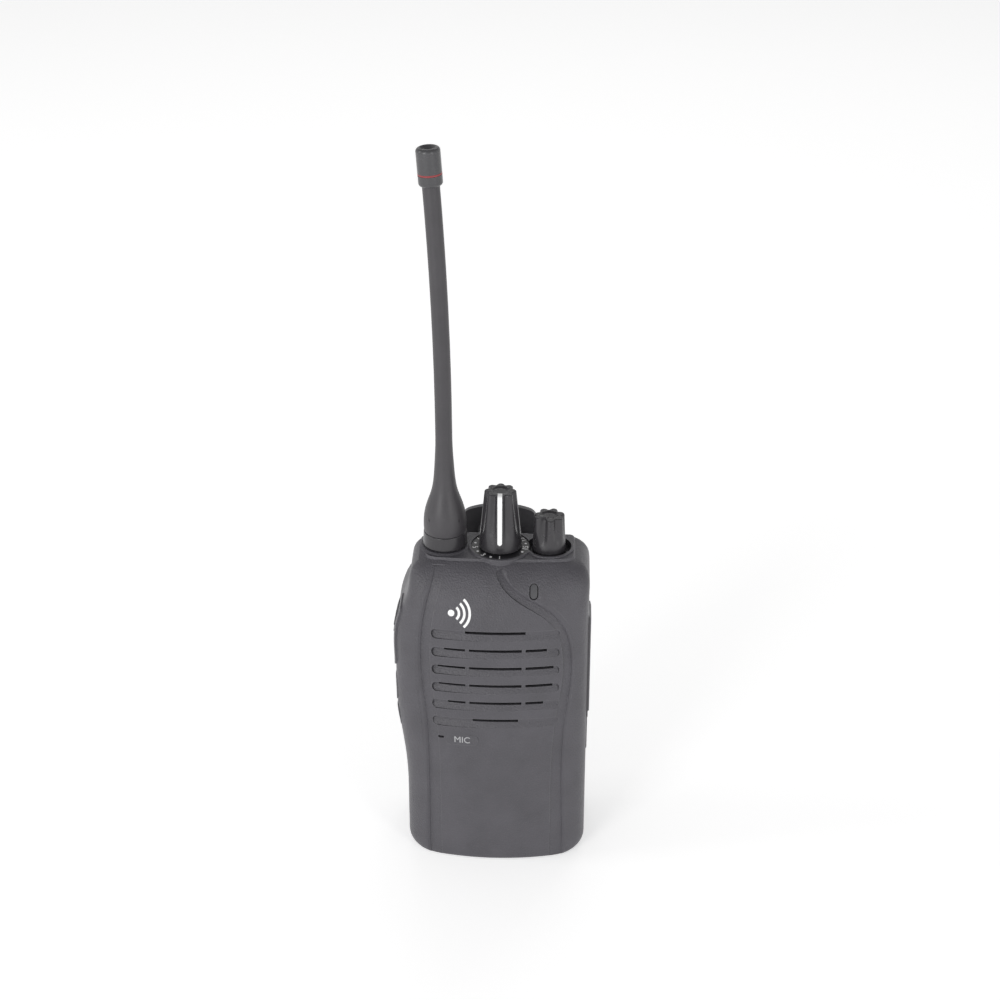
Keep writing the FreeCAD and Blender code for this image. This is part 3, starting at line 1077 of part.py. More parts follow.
def battery_lid():
    plate = battery_block(0.0).common(box(-PAST, PAST, BATTERY_FRONT_Y, LID_BACK_Y, -1, PAST * 3))
    hooks = []
    for x in (-HOOK_X, HOOK_X):
        for z in HOOK_ZS:
            x0, x1, front_y = x - HOOK_HALF, x + HOOK_HALF, CHASSIS_FRONT_Y - 1.2
            stem = box(x0, x1, front_y, BATTERY_FRONT_Y + 0.2, z - 4.6, z - 0.3)
            head = box(x0, x1, front_y, CHASSIS_FRONT_Y - 0.25, z - 4.6, z + 1.8)
            hooks.append(stem.fuse(head))
    shape = fuse_all([plate, *hooks])
    low, high = strip_span()
    tools = [box(x - 1.8, x + 1.8, BATTERY_FRONT_Y - 0.1, BATTERY_FRONT_Y + 0.5, low, high) for x in TERMINAL_XS]
    return cut_all(shape, tools + [latch_wedge(SLIP)])


def battery_cells():
    cells = []
    low, high = 7.0, BATTERY_SLOPE_Z - 4.0
    height = (high - low - 2.0) / 2
    for z in (low, high - height):
        half = HALF_WIDTH - 6.5
        cell = box(-half, half, LID_BACK_Y + 0.6, BACK_Y - 2.55, z, z + height)
        upright = [e for e in cell.Edges if abs(e.tangentAt(e.FirstParameter).z) > 0.9]
        cells.append(cell.makeFillet(3.0, upright))
    return Part.makeCompound(cells)


def battery_board():
    z = BATTERY_SLOPE_Z - 1.8
    return box(1 - BOARD_HALF, BOARD_HALF - 1, LID_BACK_Y + 0.5, LID_BACK_Y + 5.5, z, z + 1.0)


def battery_terminals():
    low, high = strip_span()
    y0, y1 = BATTERY_FRONT_Y + 0.15, BATTERY_FRONT_Y + 0.5
    return Part.makeCompound([box(x - 1.7, x + 1.7, y0, y1, low + 0.2, high - 0.2) for x in TERMINAL_XS])


def charge_contacts():
    return Part.makeCompound([rounded_box(x - 2.6, x + 2.6, BACK_Y - 0.8, BACK_Y - 0.3, 6.1, 10.9, 0.8, V(0, 1, 0))
                              for x in (-CONTACT_X, CONTACT_X)])


def battery_label():
    low, high = label_span()
    half = BOARD_HALF - 0.1
    return box(-half, half, BACK_Y - 0.35, BACK_Y - 0.1, low + 0.1, high - 0.1)


# ---------------------------------------------------------------- battery latch
def battery_latch():
    slider = box(-LATCH_HALF, LATCH_HALF, LATCH_FRONT_Y, CHASSIS_BACK_Y - 0.9, LATCH_LOW_Z, LATCH_HIGH_Z)
    grips = [box(-LATCH_HALF + 1, LATCH_HALF - 1, y, y + 0.7, 0.0, 0.8) for y in (-4.0, -2.5, -1.0)]
    return cut_all(fuse_all([slider, latch_wedge(0.0)]), grips)


def latch_spring():
    """The latch's flat zigzag return spring, at its pressed length."""
    low_y, high_y = LATCH_POCKET_Y + 0.2, LATCH_FRONT_Y - LATCH_TRAVEL - 0.2
    wire = 0.35
    pitch = (high_y - low_y - wire) / 3
    bars = [box(-4.0, 4.0, low_y + k * pitch, low_y + k * pitch + wire, 1.0, 2.6) for k in range(4)]
    links = [box(*((4.0 - wire, 4.0) if k % 2 else (-4.0, wire - 4.0)),
                 low_y + k * pitch, low_y + (k + 1) * pitch + wire, 1.0, 2.6) for k in range(3)]
    return fuse_all([*bars, *links])


# ---------------------------------------------------------------- belt clip
def clip_bracket():
    y0 = CROWN_BACK_Y
    half = CLIP_HALF - 1.5
    plate = rounded_box(-half, half, y0, y0 + 1.6, CLIP_PIN_Z - 2.8, CROWN_Z - 0.5, 1.5, V(0, 1, 0))
    ears = []
    for side in (-1, 1):
        x0, x1 = sorted((side * 7.3, side * 9.1))
        arm = prism_x([(y0 + 1.0, CLIP_PIN_Z - 2.4), (CLIP_PIN_Y, CLIP_PIN_Z - 2.0),
                       (CLIP_PIN_Y, CLIP_PIN_Z + 2.0),
                       (y0 + 1.0, CLIP_PIN_Z + 6.6)], x0, x1)
        eye = rod(x0, CLIP_PIN_Y, CLIP_PIN_Z, 2.0, x1 - x0, V(1, 0, 0))
        ears.append(arm.fuse(eye))
    shape = fuse_all([plate, *ears])
    tools = [rod(-PAST, CLIP_PIN_Y, CLIP_PIN_Z, CLIP_PIN_R, 2 * PAST, V(1, 0, 0))]
    tools += [rod(x, y0 - 1, CLIP_SCREW_Z, 1.3, 5, V(0, 1, 0)) for x in (-CLIP_SCREW_X, CLIP_SCREW_X)]
    return cut_all(shape, tools)


def clip_screws():
    screws = []
    for x in (-CLIP_SCREW_X, CLIP_SCREW_X):
        z = CLIP_SCREW_Z
        head = rod(x, CROWN_BACK_Y + 1.65, z, 2.3, 1.2, V(0, 1, 0))
        head = head.makeFillet(0.5, [e for e in head.Edges if e.BoundBox.YMin > CROWN_BACK_Y + 2.8])
        cross = box(x - 0.35, x + 0.35, CROWN_BACK_Y + 2.2, CROWN_BACK_Y + 4, z - 1.3, z + 1.3)
        cross = cross.fuse(box(x - 1.3, x + 1.3, CROWN_BACK_Y + 2.2, CROWN_BACK_Y + 4, z - 0.35, z + 0.35))
        shank = rod(x, CROWN_BACK_Y - 2.2, z, 1.1, 4.0, V(0, 1, 0))
        screws.append(head.fuse(shank).cut(cross).removeSplitter())
    return Part.makeCompound(screws)


def clip_pin():
    return rod(-9.3, CLIP_PIN_Y, CLIP_PIN_Z, CLIP_PIN_R, 18.6, V(1, 0, 0))


def clip_spring():
    """A torsion spring's coil round the pin and its leg against the bracket."""
    coil = []
    for k in range(5):
        x = -2.5 + k * 1.25
        ring = Part.makeTorus(1.62, 0.5, V(x, CLIP_PIN_Y, CLIP_PIN_Z), V(1, 0, 0))
        coil.append(ring)
    bridge = rod(-2.5, CLIP_PIN_Y - 1.62, CLIP_PIN_Z, 0.45, 5.0, V(1, 0, 0))
    leg = rod(0, CLIP_PIN_Y - 1.62, CLIP_PIN_Z, 0.45, 6.2, V(0, -1, 0.0))
    return fuse_all([*coil, bridge, leg])


def clip_face():
    """The lever's shape from behind: a round top, straight shoulders and a tapered arm with a round tip."""
    crown = CLIP_TOP_Z - (CLIP_CROWN_R - math.sqrt(CLIP_CROWN_R**2 - CLIP_HALF**2))
    bend, low_half, low = CLIP_PIN_Z - 4.0, CLIP_HALF - CLIP_TAPER, CLIP_LOW_Z + 6.0
    right = [V(low_half, 0, low), V(CLIP_HALF, 0, bend), V(CLIP_HALF, 0, crown)]
    left = [V(-p.x, 0, p.z) for p in right]
    edges = [Part.makeLine(left[2], left[1]), Part.makeLine(left[1], left[0]),
             Part.Arc(left[0], V(0, 0, CLIP_LOW_Z - 0.5), right[0]).toShape(),
             Part.makeLine(right[0], right[1]), Part.makeLine(right[1], right[2]),
             Part.Arc(right[2], V(0, 0, CLIP_TOP_Z), left[2]).toShape()]
    block = Part.Face(Part.Wire(edges)).extrude(V(0, PAST, 0))
    corners = [e for e in block.Edges if e.BoundBox.YLength > 1 and abs(e.BoundBox.ZMin - crown) < 0.01]
    return block.makeFillet(CLIP_CORNER, corners)


def clip_lever():
    """The sprung arm: thumb pad above the pin, belt arm below, curled tip."""
    t = CLIP_THICK
    y = CLIP_INNER_Y
    top_y, bend_z = y - 2.2, CLIP_TOP_Z - 9.0
    profile = [(top_y, CLIP_TOP_Z), (y, bend_z), (y, CLIP_LOW_Z + 12), (BACK_Y + 0.5, CLIP_LOW_Z + 5),
               (BACK_Y + 2.6, CLIP_LOW_Z), (BACK_Y + 4.3, CLIP_LOW_Z + 0.8), (BACK_Y + 2.4, CLIP_LOW_Z + 5.0),
               (y + t, CLIP_LOW_Z + 12.4), (y + t, bend_z), (top_y + t, CLIP_TOP_Z)]
    arm = prism_x(profile, -PAST, PAST).common(clip_face())
    ears = []
    for side in (-1, 1):
        x0, x1 = sorted((side * 5.2, side * 7.0))
        ear = prism_x([(CLIP_PIN_Y, CLIP_PIN_Z - 2.1), (y + 0.5, CLIP_PIN_Z - 4.5), (y + 0.5, CLIP_PIN_Z + 4.5),
                       (CLIP_PIN_Y, CLIP_PIN_Z + 2.1)], x0, x1)
        ears.append(ear.fuse(rod(x0, CLIP_PIN_Y, CLIP_PIN_Z, 2.1, x1 - x0, V(1, 0, 0))))
    ribs = [box(x - 0.6, x + 0.6, y + t - 0.2, y + t + 0.7, CLIP_LOW_Z + 18, CLIP_TOP_Z - 14) for x in (-6, 0, 6)]
    grips = [box(-7.5, 7.5, y + t - 2.2, y + t + 1.2, CLIP_TOP_Z - 8 + 2 * k, CLIP_TOP_Z - 7.2 + 2 * k).common(
        prism_x([(y - 0.2, CLIP_TOP_Z - 9), (top_y, CLIP_TOP_Z), (top_y + t + 0.45, CLIP_TOP_Z),
                 (y + t + 0.45, CLIP_TOP_Z - 9)], -8, 8)) for k in range(3)]
    shape = fuse_all([arm, *ears, *ribs, *grips])
    return shape.cut(rod(-PAST, CLIP_PIN_Y, CLIP_PIN_Z, CLIP_PIN_R + 0.05, 2 * PAST, V(1, 0, 0)))


# ---------------------------------------------------------------- the parts
PARTS = [
    front_case, rear_chassis, main_seal, chassis_screws, led_lens, led_chip, channel_dial,
    speaker_net, speaker_frame, speaker_cone, speaker_magnet, mic_boot, mic_capsule,
    main_board, shield_cans, jack_block, key_switch_board, key_switches, terminal_block, terminal_springs,
    channel_switch, volume_switch, control_nuts, control_seals,
    channel_knob, pointer_inlay, channel_shaft, volume_knob, volume_shaft,
    antenna_base, antenna_sheath, antenna_radiator, antenna_tip, antenna_band, antenna_plug, antenna_jack,
    talk_key, upper_side_key, lower_side_key, jack_cover, cover_screw,
    battery_case, battery_lid, battery_cells, battery_board, battery_terminals, charge_contacts, battery_label,
    battery_latch, latch_spring, clip_bracket, clip_screws, clip_pin, clip_spring, clip_lever,
]


def build():
    os.makedirs("parts", exist_ok=True)
    for make in PARTS:
        shape = make()
        print(f"{make.__name__:20s} solids {len(shape.Solids)}  volume {shape.Volume:9.1f}  valid {shape.isValid()}")
        shape.exportStep(f"parts/{make.__name__}.step")


if __name__ == "__main__":
    build()
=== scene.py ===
# %% [markdown]
# # A handheld two-way radio
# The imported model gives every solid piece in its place, in metres. This script dresses those pieces, rebuilds the
# few whose look depends on soft forms or print, and lights them as a small product on a pale table.
# %% Load the frame
import json
import math

import bmesh
import bpy
from mathutils import Matrix, Vector
from mathutils.bvhtree import BVHTree


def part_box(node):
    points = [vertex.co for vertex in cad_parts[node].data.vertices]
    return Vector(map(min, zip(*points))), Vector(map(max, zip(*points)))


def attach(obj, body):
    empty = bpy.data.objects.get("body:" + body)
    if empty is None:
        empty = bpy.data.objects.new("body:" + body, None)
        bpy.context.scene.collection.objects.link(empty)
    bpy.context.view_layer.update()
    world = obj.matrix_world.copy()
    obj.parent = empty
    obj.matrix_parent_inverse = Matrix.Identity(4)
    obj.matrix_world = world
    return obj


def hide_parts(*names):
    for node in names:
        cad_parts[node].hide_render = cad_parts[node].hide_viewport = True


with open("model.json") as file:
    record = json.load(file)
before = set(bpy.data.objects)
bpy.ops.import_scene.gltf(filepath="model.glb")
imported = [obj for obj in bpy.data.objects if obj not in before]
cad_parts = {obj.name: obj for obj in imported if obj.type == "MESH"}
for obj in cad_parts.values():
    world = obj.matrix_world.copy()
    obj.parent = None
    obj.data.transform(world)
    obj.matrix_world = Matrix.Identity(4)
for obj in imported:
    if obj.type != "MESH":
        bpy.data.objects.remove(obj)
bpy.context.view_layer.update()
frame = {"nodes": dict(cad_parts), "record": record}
MM = 0.001

# %% [markdown]
# ## The view
# A product shot of a tall thin object is taken from a little above, with a long lens, so the front stays upright and
# the top with its knobs still shows. The camera is placed from a pitch, a small turn and a distance to a point on the
# radio's axis, which is easier to reason about than loose coordinates.
# %% Camera
PITCH = math.radians(27.5)
TURN = math.radians(2.0)
AWAY = 0.600
AIM = Vector((0.0009, 0.0, 0.12652))

camera_data = bpy.data.cameras.new("camera")
camera_data.lens = 68.87
camera_data.sensor_width = 36.0
camera_data.clip_start = 0.01
camera = bpy.data.objects.new("camera", camera_data)
camera.location = AIM + AWAY * Vector((math.cos(PITCH) * math.sin(TURN), -math.cos(PITCH) * math.cos(TURN),
                                       math.sin(PITCH)))
camera.rotation_euler = (math.pi / 2 - PITCH, 0, TURN)
bpy.context.scene.collection.objects.link(camera)
bpy.context.scene.camera = camera
print("camera at", [round(c, 4) for c in camera.location])

# %% [markdown]
# ## Floor and light
# Dark plastic is seen by what it reflects. The main soft light stands in front and to the left, so the front face and
# the left rail are the brightest and the top stays darker. A narrower one fills the right, a higher one rims the left
# side, and a weak one behind draws the edges of the knobs. The world is pale at the horizon and dim overhead, and the
# floor is pale and glows a little, so soft light also comes up from below.
# %% Floor
def floor_material():
    material = bpy.data.materials.new("pale_floor")
    material.use_nodes = True
    shader = material.node_tree.nodes["Principled BSDF"]
    shader.inputs["Base Color"].default_value = (0.93, 0.93, 0.93, 1)
    shader.inputs["Roughness"].default_value = 0.9
    shader.inputs["Specular IOR Level"].default_value = 0.1
    shader.inputs["Emission Color"].default_value = (1, 1, 1, 1)
    shader.inputs["Emission Strength"].default_value = 0.45
    return material


def make_floor(size=8.0):
    bm = bmesh.new()
    bmesh.ops.create_grid(bm, x_segments=1, y_segments=1, size=size / 2)
    mesh = bpy.data.meshes.new("floor")
    bm.to_mesh(mesh)
    bm.free()
    mesh.materials.append(floor_material())
    floor = bpy.data.objects.new("floor", mesh)
    bpy.context.scene.collection.objects.link(floor)
    return floor


make_floor()

# %% Lights
def area_light(name, place, size, power, aim=Vector((0, 0, 0.09))):
    data = bpy.data.lights.new(name, "AREA")
    data.shape = "RECTANGLE"
    data.size, data.size_y = size
    data.energy = power
    light = bpy.data.objects.new(name, data)
    light.location = place
    light.rotation_euler = (aim - Vector(place)).to_track_quat("-Z", "Y").to_euler()
    bpy.context.scene.collection.objects.link(light)
    return light


LIGHTS = {
    "front_left": ((-0.75, -1.2, 0.5), (0.5, 0.8), 6.4),
    "front_right": ((0.9, -1.1, 0.45), (0.35, 0.7), 3.2),
    "left_rim": ((-1.25, -0.1, 0.75), (0.4, 0.7), 2.6),
    "back_top": ((0.1, 0.9, 1.1), (0.9, 0.4), 2.0),
}
for light_name, (place, size, power) in LIGHTS.items():
    area_light(light_name, place, size, power)

world = bpy.data.worlds.new("studio")
world.use_nodes = True
world.node_tree.nodes["Background"].inputs["Color"].default_value = (1, 1, 1, 1)
sky = world.node_tree
place = sky.nodes.new("ShaderNodeTexCoord")
direction = sky.nodes.new("ShaderNodeSeparateXYZ")
sky.links.new(place.outputs["Generated"], direction.inputs["Vector"])
fall = sky.nodes.new("ShaderNodeMapRange")
fall.inputs["From Min"].default_value = 0.0
fall.inputs["From Max"].default_value = 0.8
fall.inputs["To Min"].default_value = 0.95
fall.inputs["To Max"].default_value = 0.25
sky.links.new(direction.outputs["Z"], fall.inputs["Value"])
sky.links.new(fall.outputs["Result"], sky.nodes["Background"].inputs["Strength"])
bpy.context.scene.world = world
bpy.context.scene.view_settings.view_transform = "Standard"
print("lights", list(LIGHTS))

# %% [markdown]
# ## Shared surface effects
# Three effects come back on many pieces. Moulded plastic has a spark-eroded grain, a fine all-over roughness of a
# few hundredths of a millimetre. Handling polishes and lightens the corners. And nothing is one flat colour: there is
# always some slow mottling and a little dust. Each is a node group, built once, that puts out only a mask or a
# height, so that every material can set its own strength.
# %% Group helpers
def new_group(name, inputs, outputs):
    group = bpy.data.node_groups.new(name, "ShaderNodeTree")
    for socket_name, kind, value in inputs:
        socket = group.interface.new_socket(socket_name, in_out="INPUT", socket_type=kind)
        if value is not None:
            socket.default_value = value
    for socket_name, kind in outputs:
        group.interface.new_socket(socket_name, in_out="OUTPUT", socket_type=kind)
    nodes = group.nodes
    return group, nodes.new("NodeGroupInput"), nodes.new("NodeGroupOutput")


def math_node(tree, operation, first, second=0.5, clamp=False):
    node = tree.nodes.new("ShaderNodeMath")
    node.operation = operation
    node.use_clamp = clamp
    for socket, value in zip(node.inputs, (first, second)):
        if isinstance(value, bpy.types.NodeSocket):
            tree.links.new(value, socket)
        else:
            socket.default_value = value
    return node.outputs[0]


def noise_node(tree, vector, scale, detail=2.0, roughness=0.5):
    node = tree.nodes.new("ShaderNodeTexNoise")
    node.inputs["Detail"].default_value = detail
    node.inputs["Roughness"].default_value = roughness
    tree.links.new(vector, node.inputs["Vector"])
    if isinstance(scale, bpy.types.NodeSocket):
        tree.links.new(scale, node.inputs["Scale"])
    else:
        node.inputs["Scale"].default_value = scale
    return node.outputs["Fac"]


# %% Moulded grain
def build_grain():
    group, source, sink = new_group(
        "moulded_grain",
        [("Vector", "NodeSocketVector", None), ("Size", "NodeSocketFloat", 0.35)],
        [("Height", "NodeSocketFloat")],
    )
    per_metre = math_node(group, "DIVIDE", 1000.0, source.outputs["Size"])
    fine = noise_node(group, source.outputs["Vector"], per_metre, 3.0, 0.6)
    pits = group.nodes.new("ShaderNodeTexVoronoi")
    pits.feature = "SMOOTH_F1"
    pits.inputs["Smoothness"].default_value = 0.6
    group.links.new(source.outputs["Vector"], pits.inputs["Vector"])
    group.links.new(per_metre, pits.inputs["Scale"])
    mixed = math_node(group, "ADD", fine, math_node(group, "MULTIPLY", pits.outputs["Distance"], 0.6))
    group.links.new(mixed, sink.inputs["Height"])
    return group


# %% Worn edges
def build_wear():
    group, source, sink = new_group(
        "edge_wear",
        [("Vector", "NodeSocketVector", None), ("Width", "NodeSocketFloat", 0.0004)],
        [("Mask", "NodeSocketFloat")],
    )
    bevel = group.nodes.new("ShaderNodeBevel")
    bevel.samples = 4
    group.links.new(source.outputs["Width"], bevel.inputs["Radius"])
    geometry = group.nodes.new("ShaderNodeNewGeometry")
    dot = group.nodes.new("ShaderNodeVectorMath")
    dot.operation = "DOT_PRODUCT"
    group.links.new(bevel.outputs["Normal"], dot.inputs[0])
    group.links.new(geometry.outputs["Normal"], dot.inputs[1])
    turned = math_node(group, "SUBTRACT", 1.0, dot.outputs["Value"])
    ragged = noise_node(group, source.outputs["Vector"], 900.0, 4.0, 0.7)
    mask = math_node(group, "MULTIPLY", math_node(group, "MULTIPLY", turned, 6.0), ragged, clamp=True)
    group.links.new(mask, sink.inputs["Mask"])
    return group


# %% Mottling and dust
def build_mottle():
    group, source, sink = new_group(
        "mottle_and_dust",
        [("Vector", "NodeSocketVector", None), ("Patch", "NodeSocketFloat", 90.0)],
        [("Mottle", "NodeSocketFloat"), ("Dust", "NodeSocketFloat")],
    )
    slow = noise_node(group, source.outputs["Vector"], source.outputs["Patch"], 5.0, 0.55)
    group.links.new(slow, sink.inputs["Mottle"])
    geometry = group.nodes.new("ShaderNodeNewGeometry")
    parts = group.nodes.new("ShaderNodeSeparateXYZ")
    group.links.new(geometry.outputs["Normal"], parts.inputs["Vector"])
    upward = math_node(group, "MULTIPLY", parts.outputs["Z"], 1.0, clamp=True)
    specks = noise_node(group, source.outputs["Vector"], 2200.0, 2.0, 0.6)
    sparse = math_node(group, "MULTIPLY", math_node(group, "SUBTRACT", specks, 0.52), 5.0, clamp=True)
    group.links.new(math_node(group, "MULTIPLY", upward, sparse), sink.inputs["Dust"])
    return group


GRAIN, WEAR, MOTTLE = build_grain(), build_wear(), build_mottle()
print("groups", [g.name for g in (GRAIN, WEAR, MOTTLE)])

# %% [markdown]
# ## Materials
# Almost every surface here is one kind of thing: a base colour that wanders a little, a worn-edge tint, a roughness
# that varies, and a bump. One builder makes that kind, with the numbers that tell one finish from another. Colours
# and plain numbers sit on the shader's own sockets, and only what varies is wired in.
# %% The surface builder
def place_group(tree, group, vector, **values):
    node = tree.nodes.new("ShaderNodeGroup")
    node.node_tree = group
    tree.links.new(vector, node.inputs["Vector"])
    for socket_name, value in values.items():
        node.inputs[socket_name].default_value = value
    return node


def tint(tree, factor, low, high):
    node = tree.nodes.new("ShaderNodeMix")
    node.data_type = "RGBA"
    tree.links.new(factor, node.inputs["Factor"])
    for socket, value in ((node.inputs["A"], low), (node.inputs["B"], high)):
        if isinstance(value, bpy.types.NodeSocket):
            tree.links.new(value, socket)
        else:
            socket.default_value = (*value, 1)
    return node.outputs["Result"]


def stretch(tree, value, low, high):
    node = tree.nodes.new("ShaderNodeMapRange")
    tree.links.new(value, node.inputs["Value"])
    node.inputs["From Min"].default_value = 0.3
    node.inputs["From Max"].default_value = 0.7
    node.inputs["To Min"].default_value = low
    node.inputs["To Max"].default_value = high
    return node.outputs["Result"]


def surface(name, colour, rough=(0.45, 0.6), metal=0.0, spread=0.12, patch=90.0, wear=None, wear_width=0.0004,
            dust=0.0, grain=0.35, depth=0.02, coat=0.0, specular=0.5):
    """A solid finish. spread is how far the colour wanders, grain its size and depth its height in millimetres."""
    material = bpy.data.materials.new(name)
    material.use_nodes = True
    tree = material.node_tree
    shader = tree.nodes["Principled BSDF"]
    shader.inputs["Metallic"].default_value = metal
    shader.inputs["Coat Weight"].default_value = coat
    shader.inputs["Specular IOR Level"].default_value = specular
    place = tree.nodes.new("ShaderNodeTexCoord").outputs["Object"]
    mottle = place_group(tree, MOTTLE, place, Patch=patch)
    darker = tuple(c * (1 - spread) for c in colour)
    lighter = tuple(min(1.0, c * (1 + spread)) for c in colour)
    paint = tint(tree, stretch(tree, mottle.outputs["Mottle"], 0.0, 1.0), darker, lighter)
    if wear:
        worn = place_group(tree, WEAR, place, Width=wear_width)
        paint = tint(tree, worn.outputs["Mask"], paint, wear)
    if dust:
        paint = tint(tree, math_node(tree, "MULTIPLY", mottle.outputs["Dust"], dust), paint, (0.42, 0.41, 0.4))
    tree.links.new(paint, shader.inputs["Base Color"])
    tree.links.new(stretch(tree, mottle.outputs["Mottle"], *rough), shader.inputs["Roughness"])
    if grain:
        skin = place_group(tree, GRAIN, place, Size=grain)
        bump = tree.nodes.new("ShaderNodeBump")
        bump.inputs["Distance"].default_value = depth * MM
        bump.inputs["Strength"].default_value = 1.0
        tree.links.new(skin.outputs["Height"], bump.inputs["Height"])
        tree.links.new(bump.outputs["Normal"], shader.inputs["Normal"])
    return material


# %% Outer finishes
OUTER = {
    "case_plastic": surface("case_plastic", (0.07, 0.067, 0.077), (0.34, 0.44), wear=(0.13, 0.126, 0.138),
                            dust=0.05, grain=0.5, depth=0.17),
    "cover_plastic": surface("cover_plastic", (0.082, 0.079, 0.087), (0.4, 0.5), wear=(0.14, 0.135, 0.145),
                             grain=0.4, depth=0.04),
    "pack_plastic": surface("pack_plastic", (0.062, 0.06, 0.068), (0.42, 0.52), wear=(0.14, 0.135, 0.145),
                            dust=0.05, grain=0.45, depth=0.05),
    "knob_plastic": surface("knob_plastic", (0.036, 0.034, 0.038), (0.22, 0.32), wear=(0.09, 0.088, 0.094),
                            dust=0.04, grain=0.5, depth=0.004),
    "antenna_rubber": surface("antenna_rubber", (0.05, 0.047, 0.052), (0.4, 0.5), spread=0.1,
                              dust=0.05, grain=0.3, depth=0.008),
    "tip_rubber": surface("tip_rubber", (0.06, 0.059, 0.063), (0.2, 0.3), wear=(0.1, 0.1, 0.1), grain=0.3,
                          depth=0.005),
    "red_band": surface("red_band", (0.28, 0.04, 0.045), (0.35, 0.5), grain=0.3, depth=0.004),
    "key_rubber": surface("key_rubber", (0.042, 0.041, 0.046), (0.45, 0.55), wear=(0.12, 0.12, 0.125), grain=0.35,
                          depth=0.015),
    "clip_plastic": surface("clip_plastic", (0.085, 0.083, 0.089), (0.36, 0.48), wear=(0.11, 0.11, 0.115),
                            grain=0.4, depth=0.015),
    "white_print": surface("white_print", (0.9, 0.9, 0.9), (0.4, 0.5), spread=0.03, grain=0.3, depth=0.003),
    "grey_print": surface("grey_print", (0.42, 0.42, 0.43), (0.4, 0.5), spread=0.05, grain=0.3, depth=0.003),
    "dial_print": surface("dial_print", (0.022, 0.021, 0.024), (0.3, 0.4), grain=0.3, depth=0.004),
    "lens": surface("lens", (0.075, 0.074, 0.08), (0.12, 0.2), grain=0.5, depth=0.002, coat=0.4),
    "label_film": surface("label_film", (0.12, 0.12, 0.125), (0.3, 0.42), grain=0.25, depth=0.004),
    "net_cloth": surface("net_cloth", (0.02, 0.02, 0.022), (0.8, 0.9), grain=0.3, depth=0.06),
}
print("outer finishes", len(OUTER))

# %% Inner finishes
INNER = {
    # The chassis is dark grey rather than bare metal, so that where it shows through the seam beside the pack it
    # reads as a dark gap: painted shade in the seam.
    "die_cast": surface("die_cast", (0.1, 0.1, 0.105), (0.5, 0.6), metal=0.3, grain=0.5, depth=0.03),
    "seal_rubber": surface("seal_rubber", (0.04, 0.04, 0.042), (0.6, 0.7), grain=0.3, depth=0.01),
    "screw_steel": surface("screw_steel", (0.2, 0.2, 0.21), (0.3, 0.42), metal=1.0, wear=(0.5, 0.5, 0.5),
                           wear_width=0.0002, grain=0.3, depth=0.004),
    "steel_plate": surface("steel_plate", (0.12, 0.12, 0.13), (0.35, 0.5), metal=0.6, grain=0.4, depth=0.006),
    "cone_film": surface("cone_film", (0.16, 0.14, 0.11), (0.5, 0.6), grain=0.6, depth=0.02),
    "alu_can": surface("alu_can", (0.62, 0.62, 0.63), (0.3, 0.45), metal=1.0, grain=0.4, depth=0.005),
    "board_green": surface("board_green", (0.03, 0.16, 0.07), (0.3, 0.45), spread=0.25, patch=300.0, grain=0.7,
                           depth=0.02, coat=0.3),
    "tin_plate": surface("tin_plate", (0.6, 0.6, 0.58), (0.25, 0.4), metal=1.0, grain=0.8, depth=0.006),
    "socket_plastic": surface("socket_plastic", (0.05, 0.05, 0.054), (0.4, 0.5), grain=0.3, depth=0.006),
    "flex_amber": surface("flex_amber", (0.42, 0.2, 0.035), (0.25, 0.4), spread=0.2, grain=0.5, depth=0.004,
                          coat=0.3),
    "gold_plate": surface("gold_plate", (0.83, 0.6, 0.24), (0.2, 0.32), metal=1.0, grain=0.3, depth=0.003),
    "switch_body": surface("switch_body", (0.07, 0.08, 0.1), (0.35, 0.5), grain=0.3, depth=0.006),
    "nut_brass": surface("nut_brass", (0.62, 0.58, 0.5), (0.25, 0.35), metal=1.0, grain=0.3, depth=0.003),
    "led_white": surface("led_white", (0.8, 0.8, 0.74), (0.3, 0.4), spread=0.05, grain=0.3, depth=0.003),
    "shaft_steel": surface("shaft_steel", (0.58, 0.58, 0.59), (0.22, 0.34), metal=1.0, grain=0.25, depth=0.003),
    "spring_brass": surface("spring_brass", (0.7, 0.52, 0.22), (0.25, 0.38), metal=1.0, grain=0.3, depth=0.003),
    "cell_wrap": surface("cell_wrap", (0.08, 0.16, 0.3), (0.25, 0.4), grain=0.6, depth=0.006, coat=0.4),
    "spring_steel": surface("spring_steel", (0.5, 0.5, 0.52), (0.22, 0.34), metal=1.0, grain=0.25, depth=0.003),
}
print("inner finishes", len(INNER))

# %% [markdown]
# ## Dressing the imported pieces
# The record says which slot every solid piece belongs to. Handing out materials by slot keeps this script and the
# record in step: a piece that changes slot changes finish, with nothing to edit here.
# %% Hand out finishes
FINISH = {**OUTER, **INNER}
for part in frame["record"]["subparts"]:
    target = frame["nodes"][part["node"]]
    target.data.materials.clear()
    target.data.materials.append(FINISH[part["material_slot"]])

# %% [markdown]
# ## Print on the case
# The channel ring carries the odd numbers with a dot for each even one. Print is a film of ink a few hundredths of a
# millimetre thick. Text is turned into a mesh first, then put in place, so it keeps crisp edges.
# %% Small makers
def link(name, mesh, body, slot, finish=None):
    piece = bpy.data.objects.new(name, mesh)
    bpy.context.scene.collection.objects.link(piece)
    mesh.materials.clear()
    mesh.materials.append(finish or FINISH[slot])
    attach(piece, body)
    return piece


def text_mesh(words, height, thickness):
    curve = bpy.data.curves.new("ink", "FONT")
    curve.body = words
    curve.size = height
    curve.align_x = "CENTER"
    curve.align_y = "CENTER"
    curve.extrude = thickness / 2
    holder = bpy.data.objects.new("ink", curve)
    bpy.context.scene.collection.objects.link(holder)
    bpy.context.view_layer.update()
    mesh = bpy.data.meshes.new_from_object(holder)
    bpy.data.objects.remove(holder)
    bm = bmesh.new()
    bm.from_mesh(mesh)
    bmesh.ops.remove_doubles(bm, verts=bm.verts, dist=1e-7)
    bm.to_mesh(mesh)
    bm.free()
    return mesh


